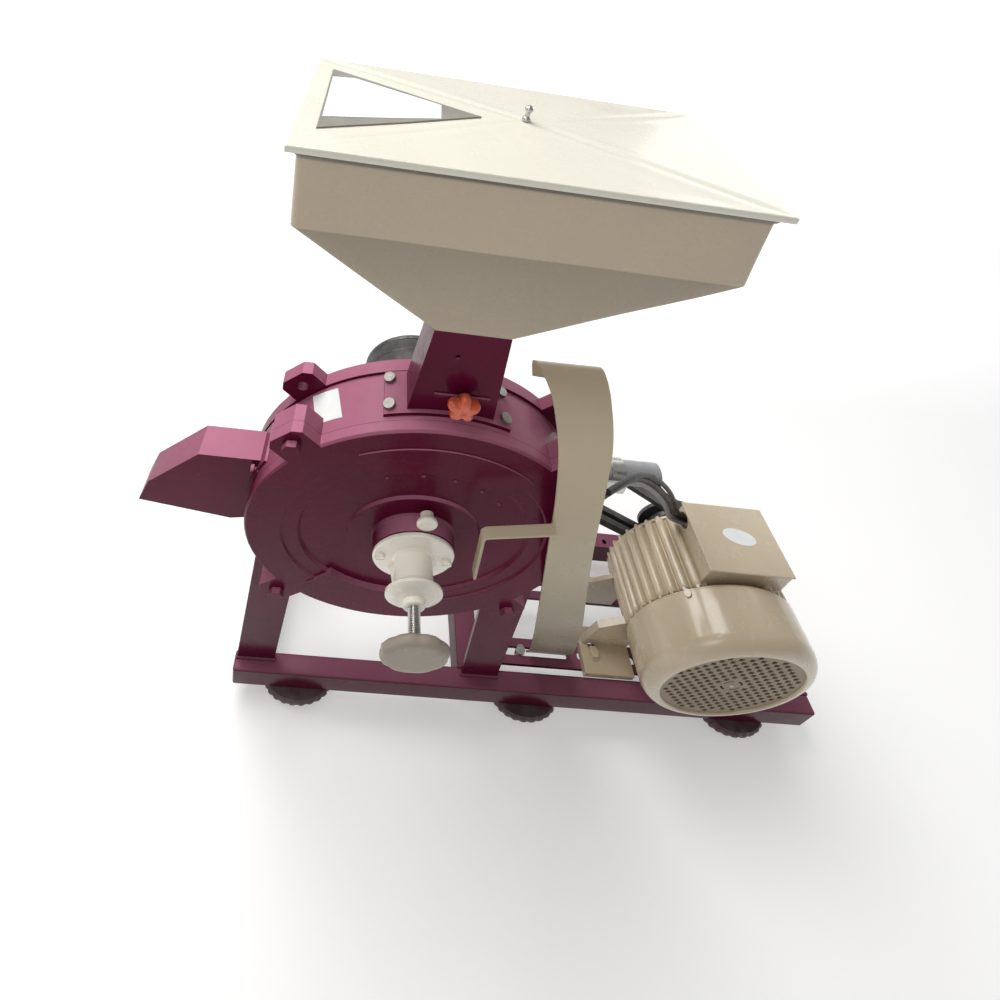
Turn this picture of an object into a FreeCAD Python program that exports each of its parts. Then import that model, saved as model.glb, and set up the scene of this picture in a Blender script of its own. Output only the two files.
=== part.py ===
import FreeCAD, Part
import math
import os

os.makedirs("parts", exist_ok=True)
V = FreeCAD.Vector

# A small stone flour mill on a welded steel base, driven by two V-belts from a
# foot-mounted motor. Lengths are in millimetres, +Z is up, +X runs from the mill
# towards the motor and the front of the mill faces -Y. Everything is drawn from the
# mill shaft: X = 0 and Z = 0 lie on its axis and Y = 0 is the front rim of the
# casing. The last step sets the finished machine on the floor.

# Clearances
slip = 0.15
turn_fit = 0.05
guard_gap = 0.3

# Casing
casing_radius = 150.0
casing_wall = 6.0
cover_thickness = 10.0
casing_depth = 54.0
rear_plate_thickness = 12.0
rear_plate_lip = 3.0
rear_plate_radius = casing_radius + rear_plate_lip
lug_setting = 13.0
lug_circle = casing_radius + lug_setting
lug_angles = (45.0, 135.0, 225.0, 315.0)
lug_half_width = 17.0
lug_reach = 13.0
lug_depth = 14.0
lug_bolt_radius = 4.0
boss_radius = 36.0
boss_height = 12.0

# Casing face relief
rim_step_radius = 118.0
face_step_radius = 103.0
inner_ring_radius = 58.0
relief_shallow = 1.5
relief_deep = 4.0
panel_inner = 98.0
panel_outer = 129.0
panel_proud = 1.2
face_hole_circle = 87.0
face_hole_radius = 2.2
face_hole_angles = (114.0, 94.0, 76.0, 58.0, 42.0)

# Millstones and shaft
stone_radius = 127.0
stone_thickness = 19.0
stone_eye_radius = 34.0
stone_gap = 0.8
stone_seat_gap = 0.3
furrow_count = 8
furrow_width = 7.0
furrow_depth = 1.5
runner_plate_thickness = 5.0
shaft_radius = 12.5
shaft_front = 21.0
bearing_radius = 26.0
bearing_width = 15.0
housing_radius = 38.0
housing_length = 74.0
housing_foot_radius = 62.0
housing_ribs = 6
rib_reach = 100.0
rib_start = 30.0
inlet_depth = 40.0
cap_thickness = 5.0

# Stone adjuster
hub_screw_x = 29.0
hub_screw_radius = 2.5
spindle_radius = 5.2
thrust_pad_radius = 7.0
flange_radius = 35.5
flange_thickness = 4.0
barrel_radius = 16.5
barrel_length = 20.0
collar_radius = 24.0
collar_length = 11.0
nose_radius = 9.5
nose_length = 5.0
wheel_radius = 27.5
wheel_thickness = 8.0
wheel_face = -85.0
wheel_lobes = 6
wheel_notch_radius = 9.0
grease_plug_radius = 8.0
grease_plug_height = 4.0

# Feed neck, gate and hopper
neck_height = 240.0
neck_top = (-26.0, 30.0, 14.0, 48.0)
neck_foot = (-32.0, 42.0, 18.0, 51.0)
sheet = 1.5
saddle = (-48.0, 54.0, 13.5, 53.0)
saddle_thickness = 3.5
saddle_screw_x = (-43.0, 49.0)
saddle_screw_y = (21.0, 46.0)
gate_height = 172.0
gate_thickness = 2.0
gate_half = 22.0
knob_x = 8.5
knob_radius = 13.0
knob_thickness = 11.0
knob_lobes = 5
knob_front = 1.0
rod_radius = 3.0
bin_left = -130.0
bin_right = 157.0
bin_front = 9.5
bin_back = 145.0
band_top = 374.5
band_bottom = 320.0
throat_back = 60.0
throat_clearance = 2.0
rim_height = 8.0
rim_proud = 3.0
lid_overhang = 6.0
lid_sheet = 1.2
lid_skirt = 4.5
lid_crown = 4.5
lid_knob_radius = 3.0
lid_knob_height = 11.0
window_corners = ((-122.5, 127.0), (-122.5, 27.0), (-18.0, 75.0))
window_thickness = 1.2

# Flour outlet
chute_front = 23.0
chute_back = 50.0
chute_top = 54.0
chute_shoulder = -195.0
chute_knee = (-240.0, 6.0)
chute_lip_outer = (-250.0, -23.0)
chute_lip_inner = (-167.0, -40.0)
chute_flange = 2.0
outlet_half_height = 40.0

# Base frame
frame_top = -345.0
rail_height = 40.0
rail_width = 20.0
rail_front = 11.0
rear_rail_front = 187.0
rail_left = -158.0
rail_right = 584.0
rail_wall = 2.5
cross_width = 28.0
cross_left = -152.0
cross_middle = 117.0
slide_bar_width = 27.0
slide_bar_thickness = 6.0
front_slide_front = 38.0
rear_slide_front = 112.0
slide_slot_width = 9.0
foot_half_length = 42.0
foot_half_width = 23.0
foot_height = 24.0
foot_places = (-78.0, 213.0, 495.0)
foot_grooves = 7
leg_face = 24.0
leg_plate = 5.0
leg_flange = 16.0
left_leg_foot = (-156.0, -111.0)
leg_head_inner = 17.3
leg_head_outer = 31.7
leg_head_rise = 15.3
ear_offset = lug_circle * math.cos(math.radians(45))
left_leg_head = (-ear_offset - leg_head_outer + 6.0, -ear_offset + leg_head_inner)
right_leg_foot = (121.0, 166.0)
right_leg_head = (ear_offset - leg_head_inner, ear_offset + leg_head_outer)
leg_head_height = leg_head_rise - ear_offset
stay_width = 30.0
stay_plate = 6.0

# Belt drive
belt_pitch = 15.0
belt_width = 13.0
belt_depth = 8.0
belt_middle = 168.0
mill_pulley_radius = 52.0
motor_pulley_radius = 38.0
pulley_side = 4.0

# Belt guard strap
guard_sheet = 2.0

# Motor
motor_x = 415.0
motor_height = 100.0
motor_body_radius = 84.0
fin_radius = 97.0
fin_thickness = 4.6
fin_pitch = 15.5
body_front = 58.0
body_back = 140.0
body_bore = 70.0
motor_shaft_radius = 11.0
motor_bearing_radius = 23.5
motor_bearing_width = 14.0
cover_radius = 99.4
cover_sheet = 1.6
cover_front = -3.0
cover_back = 56.0
cover_corner = 17.0
hole_pitch = 14.0
hole_radius = 3.3
hole_field = 72.0
hole_centre_clear = 15.0
fan_radius = 78.0
fan_blades = 8
foot_outer = 135.0
pad_thickness = 10.0
front_pad = (31.0, 80.0)
rear_pad = (112.0, 140.0)
box_left = 373.0
box_right = 475.0
box_front = 64.0
box_back = 138.0
box_top = -135.0
box_wall = 2.5
box_lid_thickness = 3.0
box_skirt = 52.0
entry_y = box_back - 13.0
entry_z = box_top - 11.5
entry_radius = 9.0

# Run capacitor and its leads
capacitor_radius = 12.0
capacitor_length = 58.0
capacitor_place = (204.0, 84.0, -1.0)

shaft_height = foot_height + rail_height - frame_top
motor_z = frame_top + motor_height


# Drawing helpers
def rod_x(y, z, radius, x0, x1):
    return Part.makeCylinder(radius, x1 - x0, V(x0, y, z), V(1, 0, 0))


def rod_y(x, z, radius, y0, y1):
    return Part.makeCylinder(radius, y1 - y0, V(x, y0, z), V(0, 1, 0))


def rod_z(x, y, radius, z0, z1):
    return Part.makeCylinder(radius, z1 - z0, V(x, y, z0), V(0, 0, 1))


def ring_y(x, z, outer, inner, y0, y1):
    return rod_y(x, z, outer, y0, y1).cut(rod_y(x, z, inner, y0 - 1, y1 + 1))


def block(x0, x1, y0, y1, z0, z1):
    return Part.makeBox(x1 - x0, y1 - y0, z1 - z0, V(x0, y0, z0))


def plate_xz(points, y0, y1):
    outline = [V(x, y0, z) for x, z in points]
    outline.append(outline[0])
    return Part.Face(Part.makePolygon(outline)).extrude(V(0, y1 - y0, 0))


def plate_yz(points, x0, x1):
    outline = [V(x0, y, z) for y, z in points]
    outline.append(outline[0])
    return Part.Face(Part.makePolygon(outline)).extrude(V(x1 - x0, 0, 0))


def turned(profile, x=0.0, z=0.0):
    """Turns a (radius, y) outline about the axis through x, z along Y."""
    outline = [V(x + r, y, z) for r, y in profile]
    outline.append(outline[0])
    face = Part.Face(Part.makePolygon(outline))
    return face.revolve(V(x, 0, z), V(0, 1, 0), 360)


def hex_y(x, z, across, y0, y1, spin=0.0):
    corner = across / math.sqrt(3)
    angles = [math.radians(60 * i + spin) for i in range(6)]
    return plate_xz([(x + corner * math.cos(a), z + corner * math.sin(a)) for a in angles], y0, y1)


def polar(radius, degrees):
    a = math.radians(degrees)
    return radius * math.cos(a), radius * math.sin(a)


def about_y(shape, degrees, x=0.0, z=0.0):
    """Turns a shape from the X axis towards the Z axis about a line along Y."""
    copy = shape.copy()
    copy.rotate(V(x, 0, z), V(0, 1, 0), -degrees)
    return copy


def joined(shapes):
    return shapes[0].multiFuse(shapes[1:]).removeSplitter() if len(shapes) > 1 else shapes[0]


def group(shapes):
    return Part.makeCompound(shapes)


def rectangle(x0, x1, y0, y1, z):
    corners = [V(x0, y0, z), V(x1, y0, z), V(x1, y1, z), V(x0, y1, z), V(x0, y0, z)]
    return Part.makePolygon(corners)


def funnel(foot, foot_z, top, top_z, inset=0.0):
    """A tapered box between two level rectangles (x0, x1, y0, y1)."""
    wires = []
    for (x0, x1, y0, y1), z in ((foot, foot_z), (top, top_z)):
        wires.append(rectangle(x0 + inset, x1 - inset, y0 + inset, y1 - inset, z))
    return Part.makeLoft(wires, True, True)


def tube_run(points, radius):
    """A round cord: straight runs joined by tangent arcs."""
    pts = [V(*p) for p in points]
    edges = []
    start = pts[0]
    for i in range(1, len(pts) - 1):
        before = (pts[i - 1] - pts[i])
        after = (pts[i + 1] - pts[i])
        short = min(before.Length, after.Length)
        before.normalize()
        after.normalize()
        cut = 0.45 * short
        a = pts[i] + before * cut
        b = pts[i] + after * cut
        half = before.getAngle(after) / 2
        bisector = before + after
        bisector.normalize()
        bend = cut * math.tan(half)
        middle = pts[i] + bisector * (cut / math.cos(half) - bend)
        edges.append(Part.LineSegment(start, a).toShape())
        edges.append(Part.Arc(a, middle, b).toShape())
        start = b
    edges.append(Part.LineSegment(start, pts[-1]).toShape())
    path = Part.Wire(edges)
    direction = (pts[1] - pts[0]).normalize()
    profile = Part.Wire(Part.makeCircle(radius, pts[0], direction))
    return path.makePipeShell([profile], True, False)


# Casing
def lug_block(angle, y0, y1):
    """One fastening lug, chamfered at its outer corners."""
    outer = lug_circle + lug_reach
    w = lug_half_width
    outline = [(casing_radius - 4, -w), (outer - 6, -w), (outer, -w + 6), (outer, w - 6),
               (outer - 6, w), (casing_radius - 4, w)]
    return about_y(plate_xz(outline, y0, y1), angle)


def lug_holes(radius, y0, y1):
    holes = []
    for angle in lug_angles:
        x, z = polar(lug_circle, angle)
        holes.append(rod_y(x, z, radius, y0, y1))
    return holes


def panel(first, last):
    """A blank raised panel following the face of the cover."""
    ring = ring_y(0, 0, panel_outer, panel_inner, -panel_proud, relief_deep + 1)
    reach = panel_outer * 1.6
    middle = (first + last) / 2
    corners = [(0, 0), polar(reach, first), polar(reach, middle), polar(reach, last)]
    return ring.common(plate_xz(corners, -10, 20))


def front_cover():
    r = casing_radius
    disc = turned([
        (0, cover_thickness), (r, cover_thickness), (r, 2), (r - 2, 0), (rim_step_radius, 0),
        (rim_step_radius - 1.5, relief_shallow), (face_step_radius, relief_shallow),
        (face_step_radius - 2.5, relief_deep), (inner_ring_radius + 2, relief_deep),
        (inner_ring_radius, relief_shallow), (boss_radius + 2, relief_shallow),
        (boss_radius, relief_shallow - 2), (boss_radius, -boss_height), (0, -boss_height)])
    lugs = [lug_block(a, 0, cover_thickness) for a in lug_angles]
    cover = joined([disc, panel(50, 119), panel(227, 281)] + lugs)
    cuts = lug_holes(lug_bolt_radius + slip, -1, cover_thickness + 1)
    cuts.append(rod_y(0, 0, thrust_pad_radius + turn_fit, -boss_height - 1, cover_thickness + 1))
    for angle in face_hole_angles:
        x, z = polar(face_hole_circle, angle)
        cuts.append(rod_y(x, z, face_hole_radius, -1, relief_deep + 2))
    for x in (-hub_screw_x, hub_screw_x):
        cuts.append(rod_y(x, 0, hub_screw_radius + slip, -boss_height - 1, 1))
    return cover.cut(joined(cuts))


def outlet_hole():
    return block(-casing_radius - 5, -casing_radius + 25, chute_front + 2, chute_back - 2,
                 -outlet_half_height + 4, outlet_half_height + 6)


def saddle_axes():
    """Each saddle screw as (y, unit direction pointing out of the drum)."""
    axes = []
    for x in saddle_screw_x:
        z = math.sqrt(casing_radius ** 2 - x ** 2)
        for y in saddle_screw_y:
            axes.append((y, V(x, 0, z).normalize()))
    return axes


def saddle_holes(radius):
    return [Part.makeCylinder(radius, 20, V(0, y, 0) + d * (casing_radius - 10), d)
            for y, d in saddle_axes()]


def casing_drum():
    ring = ring_y(0, 0, casing_radius, casing_radius - casing_wall, cover_thickness, casing_depth)
    lugs = [lug_block(a, cover_thickness, cover_thickness + lug_depth) for a in lug_angles]
    inside = rod_y(0, 0, casing_radius - casing_wall, 0, casing_depth + 5)
    drum = joined([ring] + lugs).cut(inside)
    x0, x1, y0, y1 = neck_foot
    inlet = block(x0 + 6, x1 - 6, y0 + 4, y1 - 3, casing_radius - inlet_depth, casing_radius + 10)
    cuts = lug_holes(lug_bolt_radius + slip, 0, casing_depth) + saddle_holes(2.5 + slip)
    return drum.cut(joined([inlet, outlet_hole()] + cuts))


def rear_casing():
    """Back plate with four ears, the bearing housing and its ribs in one casting."""
    y0 = casing_depth
    y1 = casing_depth + rear_plate_thickness
    end = y1 + housing_length
    plate = rod_y(0, 0, rear_plate_radius, y0, y1)
    ears = [lug_block(a, y0, y1) for a in lug_angles]
    housing = turned([(0, y1 - 1), (housing_foot_radius, y1 - 1), (housing_foot_radius - 14, y1 + 8),
                      (housing_radius, y1 + 20), (housing_radius, end), (0, end)])
    ribs = []
    for i in range(housing_ribs):
        rib = plate_xz([(rib_start, -4), (rib_reach, -4), (rib_reach, 4), (rib_start, 4)], y1 - 1, end - 12)
        slope = plate_yz([(y1 - 2, rib_start), (y1 - 2, rib_reach), (end - 12, rib_start)], -10, 10)
        slope.rotate(V(0, 0, 0), V(0, 1, 0), 90)
        ribs.append(about_y(rib.common(slope), 60 * i + 30))
    body = joined([plate, housing] + ears + ribs)
    cuts = lug_holes(lug_bolt_radius + 1, y0 - 1, y1 + 1)
    cuts.append(rod_y(0, 0, bearing_radius + turn_fit, y0 - 1, y0 + 2 + bearing_width))
    cuts.append(rod_y(0, 0, shaft_radius + 4, y0, end + 1))
    cuts.append(rod_y(0, 0, bearing_radius + turn_fit, end - bearing_width, end + 1))
    return body.cut(joined(cuts))


def cover_bolts():
    """Hexagon bolts through cover, drum lug and, on the lower two, the leg."""
    bolts = []
    for angle in lug_angles:
        x, z = polar(lug_circle, angle)
        back = cover_thickness + lug_depth + (leg_plate if angle > 180 else 0)
        shank = rod_y(x, z, lug_bolt_radius, 0, back + 9)
        head = hex_y(x, z, 13, -5.5, 0)
        nut = hex_y(x, z, 13, back, back + 6.5)
        bolts.append(joined([shank, head, nut]))
    return group(bolts)


# Stones, shaft and bearings
fixed_front = cover_thickness + stone_seat_gap
fixed_back = fixed_front + stone_thickness
running_front = fixed_back + stone_gap
running_back = running_front + stone_thickness


def furrows(y0, y1, lean):
    """Straight furrows that run off tangentially to the eye."""
    cuts = []
    for i in range(furrow_count):
        groove = block(stone_eye_radius * 0.8, stone_radius * 1.1, y0, y1, 8, 8 + furrow_width)
        cuts.append(about_y(groove, lean * 360.0 * i / furrow_count))
    return joined(cuts)


def fixed_stone():
    stone = ring_y(0, 0, stone_radius, stone_eye_radius, fixed_front, fixed_back)
    channel = block(-14, 22, fixed_front - 1, fixed_back - 7, 20, stone_radius + 5)
    return stone.cut(channel).cut(furrows(fixed_back - furrow_depth, fixed_back + 1, 1))


def running_stone():
    stone = ring_y(0, 0, stone_radius, stone_eye_radius, running_front, running_back)
    return stone.cut(furrows(running_front - 1, running_front + furrow_depth, -1))


def runner_plate():
    """Steel disc and hub that carry the running stone on the shaft."""
    back = running_back + runner_plate_thickness
    hub_radius = stone_eye_radius - 4
    disc = turned([(shaft_radius, running_front + 2), (hub_radius, running_front + 2),
                   (hub_radius, running_back), (stone_radius - 12, running_back),
                   (stone_radius - 12, back - 1.5), (shaft_radius, back - 1.5)])
    return disc


def main_shaft():
    end = belt_middle + belt_pitch + 12
    shaft = turned([(0, shaft_front), (shaft_radius - 1, shaft_front), (shaft_radius, shaft_front + 1),
                    (shaft_radius, end - 1), (shaft_radius - 1, end), (0, end)])
    return shaft


def bearing(x, z, outer, bore, y0, width):
    """Ball bearing as one ring with its two shield grooves."""
    mid_out = outer - (outer - bore) * 0.28
    mid_in = bore + (outer - bore) * 0.28
    ring = ring_y(x, z, outer, bore, y0, y0 + width)
    grooves = [ring_y(x, z, mid_out, mid_in, y0 - 1, y0 + 0.8),
               ring_y(x, z, mid_out, mid_in, y0 + width - 0.8, y0 + width + 1)]
    return ring.cut(joined(grooves))


def shaft_bearings():
    front = casing_depth + 2
    rear = casing_depth + rear_plate_thickness + housing_length - bearing_width
    bore = shaft_radius + turn_fit
    return group([bearing(0, 0, bearing_radius, bore, y, bearing_width) for y in (front, rear)])


def bearing_cap():
    y0 = casing_depth + rear_plate_thickness + housing_length
    return turned([(shaft_radius + 1, y0), (housing_radius, y0), (housing_radius, y0 + 3),
                   (housing_radius - 2, y0 + cap_thickness), (shaft_radius + 1, y0 + cap_thickness)])


# Stone adjuster on the cover boss
flange_back = -boss_height
flange_front = flange_back - flange_thickness
barrel_front = flange_front - barrel_length
collar_front = barrel_front - collar_length
nose_front = collar_front - nose_length


def spindle_housing():
    """Flanged yoke with a flared collar; the adjusting spindle screws through it."""
    body = turned([
        (0, flange_back), (flange_radius - 1, flange_back), (flange_radius, flange_back - 1),
        (flange_radius, flange_front + 1), (flange_radius - 1, flange_front),
        (barrel_radius + 2, flange_front), (barrel_radius, flange_front - 2),
        (barrel_radius, barrel_front), (collar_radius, barrel_front - 5),
        (collar_radius, barrel_front - 7), (barrel_radius - 2, collar_front),
        (nose_radius, collar_front), (nose_radius, nose_front + 1), (nose_radius - 1, nose_front),
        (0, nose_front)])
    ribs = []
    for side in (-1, 1):
        rib = plate_yz([(flange_front + 0.5, 0), (barrel_front - 2, 0), (barrel_front - 2, 19),
                        (flange_front - 8, 22), (flange_front + 0.5, 26)], -2.5, 2.5)
        ribs.append(about_y(rib, 45 * side + 180))
    cuts = [rod_y(0, 0, spindle_radius + turn_fit, nose_front - 1, flange_back + 1)]
    cuts.append(rod_y(0, 0, thrust_pad_radius + 1.5, flange_front - 4, flange_back + 1))
    for x in (-hub_screw_x, hub_screw_x):
        cuts.append(rod_y(x, 0, hub_screw_radius + slip, flange_front - 1, flange_back + 1))
    return joined([body] + ribs).cut(joined(cuts))


def hub_screws():
    screws = []
    for x in (-hub_screw_x, hub_screw_x):
        shank = rod_y(x, 0, hub_screw_radius, flange_front, -1)
        head = rod_y(x, 0, 4.5, flange_front - 3, flange_front)
        slot = block(x - 5, x + 5, flange_front - 4, flange_front - 2, -0.6, 0.6)
        screws.append(joined([shank, head]).cut(slot))
    return group(screws)


def adjusting_spindle():
    tip = flange_front - 1
    head = wheel_face + 3
    return turned([(0, head), (spindle_radius - 1, head), (spindle_radius, head + 1),
                   (spindle_radius, tip - 1), (spindle_radius - 1, tip), (0, tip)])


def thrust_pad():
    back = shaft_front - 0.1
    front = flange_front - 1 + 0.1
    return rod_y(0, 0, thrust_pad_radius, front, back)


def hand_wheel():
    """Scalloped grip disc with a short hub, keyed on the spindle."""
    y0 = wheel_face
    y1 = wheel_face + wheel_thickness
    disc = turned([(0, y0), (wheel_radius - 2.5, y0 + 0.5), (wheel_radius, y0 + 3), (wheel_radius, y1 - 2),
                   (wheel_radius - 2, y1), (nose_radius, y1), (nose_radius - 1, y1 + 6), (0, y1 + 6)])
    cuts = [rod_y(0, 0, spindle_radius, y0 + 2.5, y1 + 7)]
    for i in range(wheel_lobes):
        x, z = polar(wheel_radius + wheel_notch_radius - 1.6, 360.0 * (i + 0.5) / wheel_lobes)
        cuts.append(rod_y(x, z, wheel_notch_radius, y0 - 1, y1 + 1))
    return disc.cut(joined(cuts))


def grease_plug():
    """Domed plug standing on top of the cover boss."""
    x = 9.0
    z = math.sqrt(boss_radius ** 2 - (x - grease_plug_radius) ** 2) + 0.2
    y = -5.5
    radius = grease_plug_radius * 0.6
    plug = rod_z(x, y, radius, z - 1.5, z + grease_plug_height)
    cap = rod_z(x, y, grease_plug_radius * 0.65, z + grease_plug_height, z + grease_plug_height + 2)
    return joined([plug, cap]).cut(rod_y(0, 0, boss_radius + 0.02, -20, 10))


# Feed neck and gate
def neck_shell():
    outer = funnel(neck_foot, casing_radius - 30, neck_top, neck_height)
    inner = funnel(neck_foot, casing_radius - 31, neck_top, neck_height + 1, sheet)
    return outer, inner


def feed_neck():
    """Tapered spout on a saddle that follows the drum."""
    outer, inner = neck_shell()
    x0, x1, y0, y1 = saddle
    around = casing_radius + saddle_thickness
    strap = ring_y(0, 0, around, casing_radius, y0, y1)
    strap = strap.common(block(x0, x1, y0, y1, 80, around + 5))
    body = joined([outer.cut(rod_y(0, 0, casing_radius, -10, 90)), strap]).cut(inner)
    slot = block(knob_x - gate_half - slip, knob_x + gate_half + slip, -5, neck_foot[2] + 8,
                 gate_height - slip, gate_height + gate_thickness + slip)
    peep = rod_y(-4, neck_height - 24, 2.0, 0, neck_top[2] + 8)
    return body.cut(joined([slot, peep] + saddle_holes(2.5 + slip)))


def saddle_screws():
    screws = []
    top = casing_radius + saddle_thickness
    for y, d in saddle_axes():
        foot = V(0, y, 0) + d * (casing_radius - casing_wall + 1)
        head = V(0, y, 0) + d * (top + 0.02)
        shank = Part.makeCylinder(2.5, top + 1 - casing_radius + casing_wall - 1, foot, d)
        screws.append(joined([shank, Part.makeCylinder(4.8, 3.2, head, d)]))
    return group(screws)


def feed_gate():
    """Flat shutter across the neck, with the rod that the knob pulls."""
    back = neck_foot[3] - sheet - 2.5
    front = neck_foot[2] - 3.5
    plate = block(knob_x - gate_half, knob_x + gate_half, front, back, gate_height, gate_height + gate_thickness)
    middle = gate_height + gate_thickness / 2
    boss = rod_y(knob_x, middle, rod_radius + 1.5, front - 2, front + 0.5)
    rod = rod_y(knob_x, middle, rod_radius, knob_front + knob_thickness - 5, front)
    return joined([plate, boss, rod])


def feed_knob():
    """Star knob with rounded lobes, screwed on the gate rod."""
    z = gate_height + gate_thickness / 2
    y0 = knob_front
    y1 = knob_front + knob_thickness
    core = rod_y(knob_x, z, knob_radius * 0.68, y0, y1)
    lobes = []
    for i in range(knob_lobes):
        dx, dz = polar(knob_radius * 0.62, 90 + 360.0 * i / knob_lobes)
        lobes.append(rod_y(knob_x + dx, z + dz, knob_radius * 0.36, y0 + 1, y1 - 1))
    bore = rod_y(knob_x, z, rod_radius + turn_fit, y1 - 5, y1 + 1)
    dimple = rod_y(knob_x, z, 3.2, y0 - 1, y0 + 1.5)
    return joined([core] + lobes).cut(joined([bore, dimple]))


# Hopper
def hopper_bin():
    """Sheet bin: upright band, four sloping sides and a short throat over the neck."""
    rim = (bin_left, bin_right, bin_front, bin_back)
    band = block(bin_left, bin_right, bin_front, bin_back, band_bottom, band_top)
    nx0, nx1, ny0, ny1 = neck_top
    t = sheet
    foot = (nx0 - 1, nx1 + 1, ny0 - 1, throat_back)
    base = neck_height + t
    cone = funnel(foot, base, rim, band_bottom)
    floor_plate = block(nx0 - 1, nx1 + 1, ny0 - 1, throat_back, neck_height, base + 0.1)
    gap = t + throat_clearance
    spout = block(nx0 + gap, nx1 - gap, ny0 + gap, ny1 - gap, neck_height - 14, neck_height + 0.1)
    proud = rim_proud
    roll = block(bin_left - proud, bin_right + proud, bin_front - proud, bin_back + proud,
                 band_top - rim_height, band_top)
    outer = joined([band, cone, floor_plate, spout, roll])
    hollow_band = block(bin_left + t, bin_right - t, bin_front + t, bin_back - t, band_bottom - 0.1, band_top + 1)
    hollow_cone = funnel(foot, base, rim, band_bottom + 0.1, t)
    drop = block(nx0 + gap + t, nx1 - gap - t, ny0 + gap + t, ny1 - gap - t, neck_height - 15, base + 1)
    return outer.cut(joined([hollow_band, hollow_cone])).cut(drop)


def lid_rect():
    e = lid_overhang
    return bin_left - e, bin_right + e, bin_front - e, bin_back + e


def crown(x0, x1, y0, y1, z, rise):
    """Low pyramid that gives the lid its pressed diagonals."""
    cx = (x0 + x1) / 2
    cy = (y0 + y1) / 2
    tip = 0.5
    return Part.makeLoft([rectangle(x0, x1, y0, y1, z), rectangle(cx - tip, cx + tip, cy - tip, cy + tip, z + rise)],
                         True, True)


def hopper_lid():
    x0, x1, y0, y1 = lid_rect()
    top = band_top + lid_sheet
    skin = block(x0, x1, y0, y1, top - lid_skirt, top)
    t = lid_sheet
    hollow = block(x0 + t, x1 - t, y0 + t, y1 - t, top - lid_skirt - 1, band_top)
    lid = joined([skin, crown(x0 + t, x1 - t, y0 + t, y1 - t, top, lid_crown)]).cut(hollow)
    return lid.cut(crown(x0 + 3 * t, x1 - 3 * t, y0 + 3 * t, y1 - 3 * t, band_top - 0.1, lid_crown))


def lid_surface(x):
    """Height of the left facet of the crown at x."""
    x0, x1 = lid_rect()[:2]
    return band_top + lid_sheet + lid_crown * (x - x0 - lid_sheet) / ((x1 - x0) / 2 - lid_sheet - 0.5)


def lid_window():
    corners = [V(x, y, lid_surface(x) + 0.05) for x, y in window_corners]
    corners.append(corners[0])
    return Part.Face(Part.makePolygon(corners)).extrude(V(0, 0, window_thickness))


def lid_knob():
    x0, x1, y0, y1 = lid_rect()
    cx = (x0 + x1) / 2
    cy = (y0 + y1) / 2
    z = band_top + lid_sheet + lid_crown
    r = lid_knob_radius
    outline = [(0, 0), (r, 0), (r, 2), (r * 0.55, 3.5), (r * 0.55, 6), (r, 8), (r, lid_knob_height - 1.5),
               (r - 1.5, lid_knob_height), (0, lid_knob_height)]
    points = [V(cx + a, cy, z + h) for a, h in outline]
    points.append(points[0])
    return Part.Face(Part.makePolygon(points)).revolve(V(cx, cy, 0), V(0, 0, 1), 360)


# Flour outlet
def chute_outline(inset):
    """Side view of the outlet box, inside or outside its sheet."""
    s = inset
    return [(-casing_radius + 30, chute_top - s), (chute_shoulder + s * 0.4, chute_top - s),
            (chute_knee[0] + s, chute_knee[1] + s * 0.2), (chute_lip_outer[0] + s, chute_lip_outer[1] - 3 * (s > 0)),
            (chute_lip_inner[0] - s, chute_lip_inner[1] - 3 * (s > 0)),
            (-casing_radius + 8 - s, -outlet_half_height + 6 + s), (-casing_radius + 30, -outlet_half_height + 6 + s)]


def outlet_chute():
    box = plate_xz(chute_outline(0), chute_front, chute_back)
    hollow = plate_xz(chute_outline(sheet), chute_front + sheet, chute_back - sheet)
    skin = ring_y(0, 0, casing_radius + chute_flange + 0.05, casing_radius + 0.05, chute_front - 6, casing_depth - 1)
    skin = skin.common(block(-170, -120, 0, 60, -outlet_half_height - 6, chute_top + 10))
    body = joined([box.cut(rod_y(0, 0, casing_radius + 0.05, 0, 60)), skin]).cut(hollow)
    holes = [rod_x(y, z, 2.2, -170, -120) for y, z in chute_bolt_places()]
    return body.cut(joined(holes))


def chute_bolt_places():
    y = chute_front - 4.5
    return [(y, chute_top - 6), (y, -outlet_half_height)]


def chute_bolts():
    bolts = []
    for y, z in chute_bolt_places():
        face = -math.sqrt((casing_radius + chute_flange + 0.05) ** 2 - z * z)
        root = -math.sqrt(casing_radius ** 2 - (abs(z) + 2.2) ** 2) + 0.1
        tip = min(face - 1.2, root)
        bolts.append(rod_x(y, z, 2.0, tip - 2.0, tip + 1.1))
        bolts[-1] = joined([bolts[-1], rod_x(y, z, 4.0, face - 5.0, face - 1.8)])
    return group(bolts)


# Base frame
def hollow_rail(x0, x1, y0, y1, z0, z1):
    t = rail_wall
    return block(x0, x1, y0, y1, z0, z1).cut(block(x0 + t, x1 - t, y0 + t, y1 - t, z0 + t, z1 - t))


def front_rail():
    return hollow_rail(rail_left, rail_right, rail_front, rail_front + rail_width, frame_top - rail_height, frame_top)


def rear_rail():
    y0 = rear_rail_front
    rail = hollow_rail(rail_left, rail_right, y0, y0 + rail_width, frame_top - rail_height, frame_top)
    holes = [rod_z(x, y0 + rail_width / 2 - 2, 3.2, frame_top - 5, frame_top + 1) for x in (362, 382)]
    return rail.cut(joined(holes))


def cross_member(x0):
    return hollow_rail(x0, x0 + cross_width, rail_front + rail_width, rear_rail_front,
                       frame_top - rail_height, frame_top)


def right_cross_x():
    return rail_right - cross_width


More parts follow.
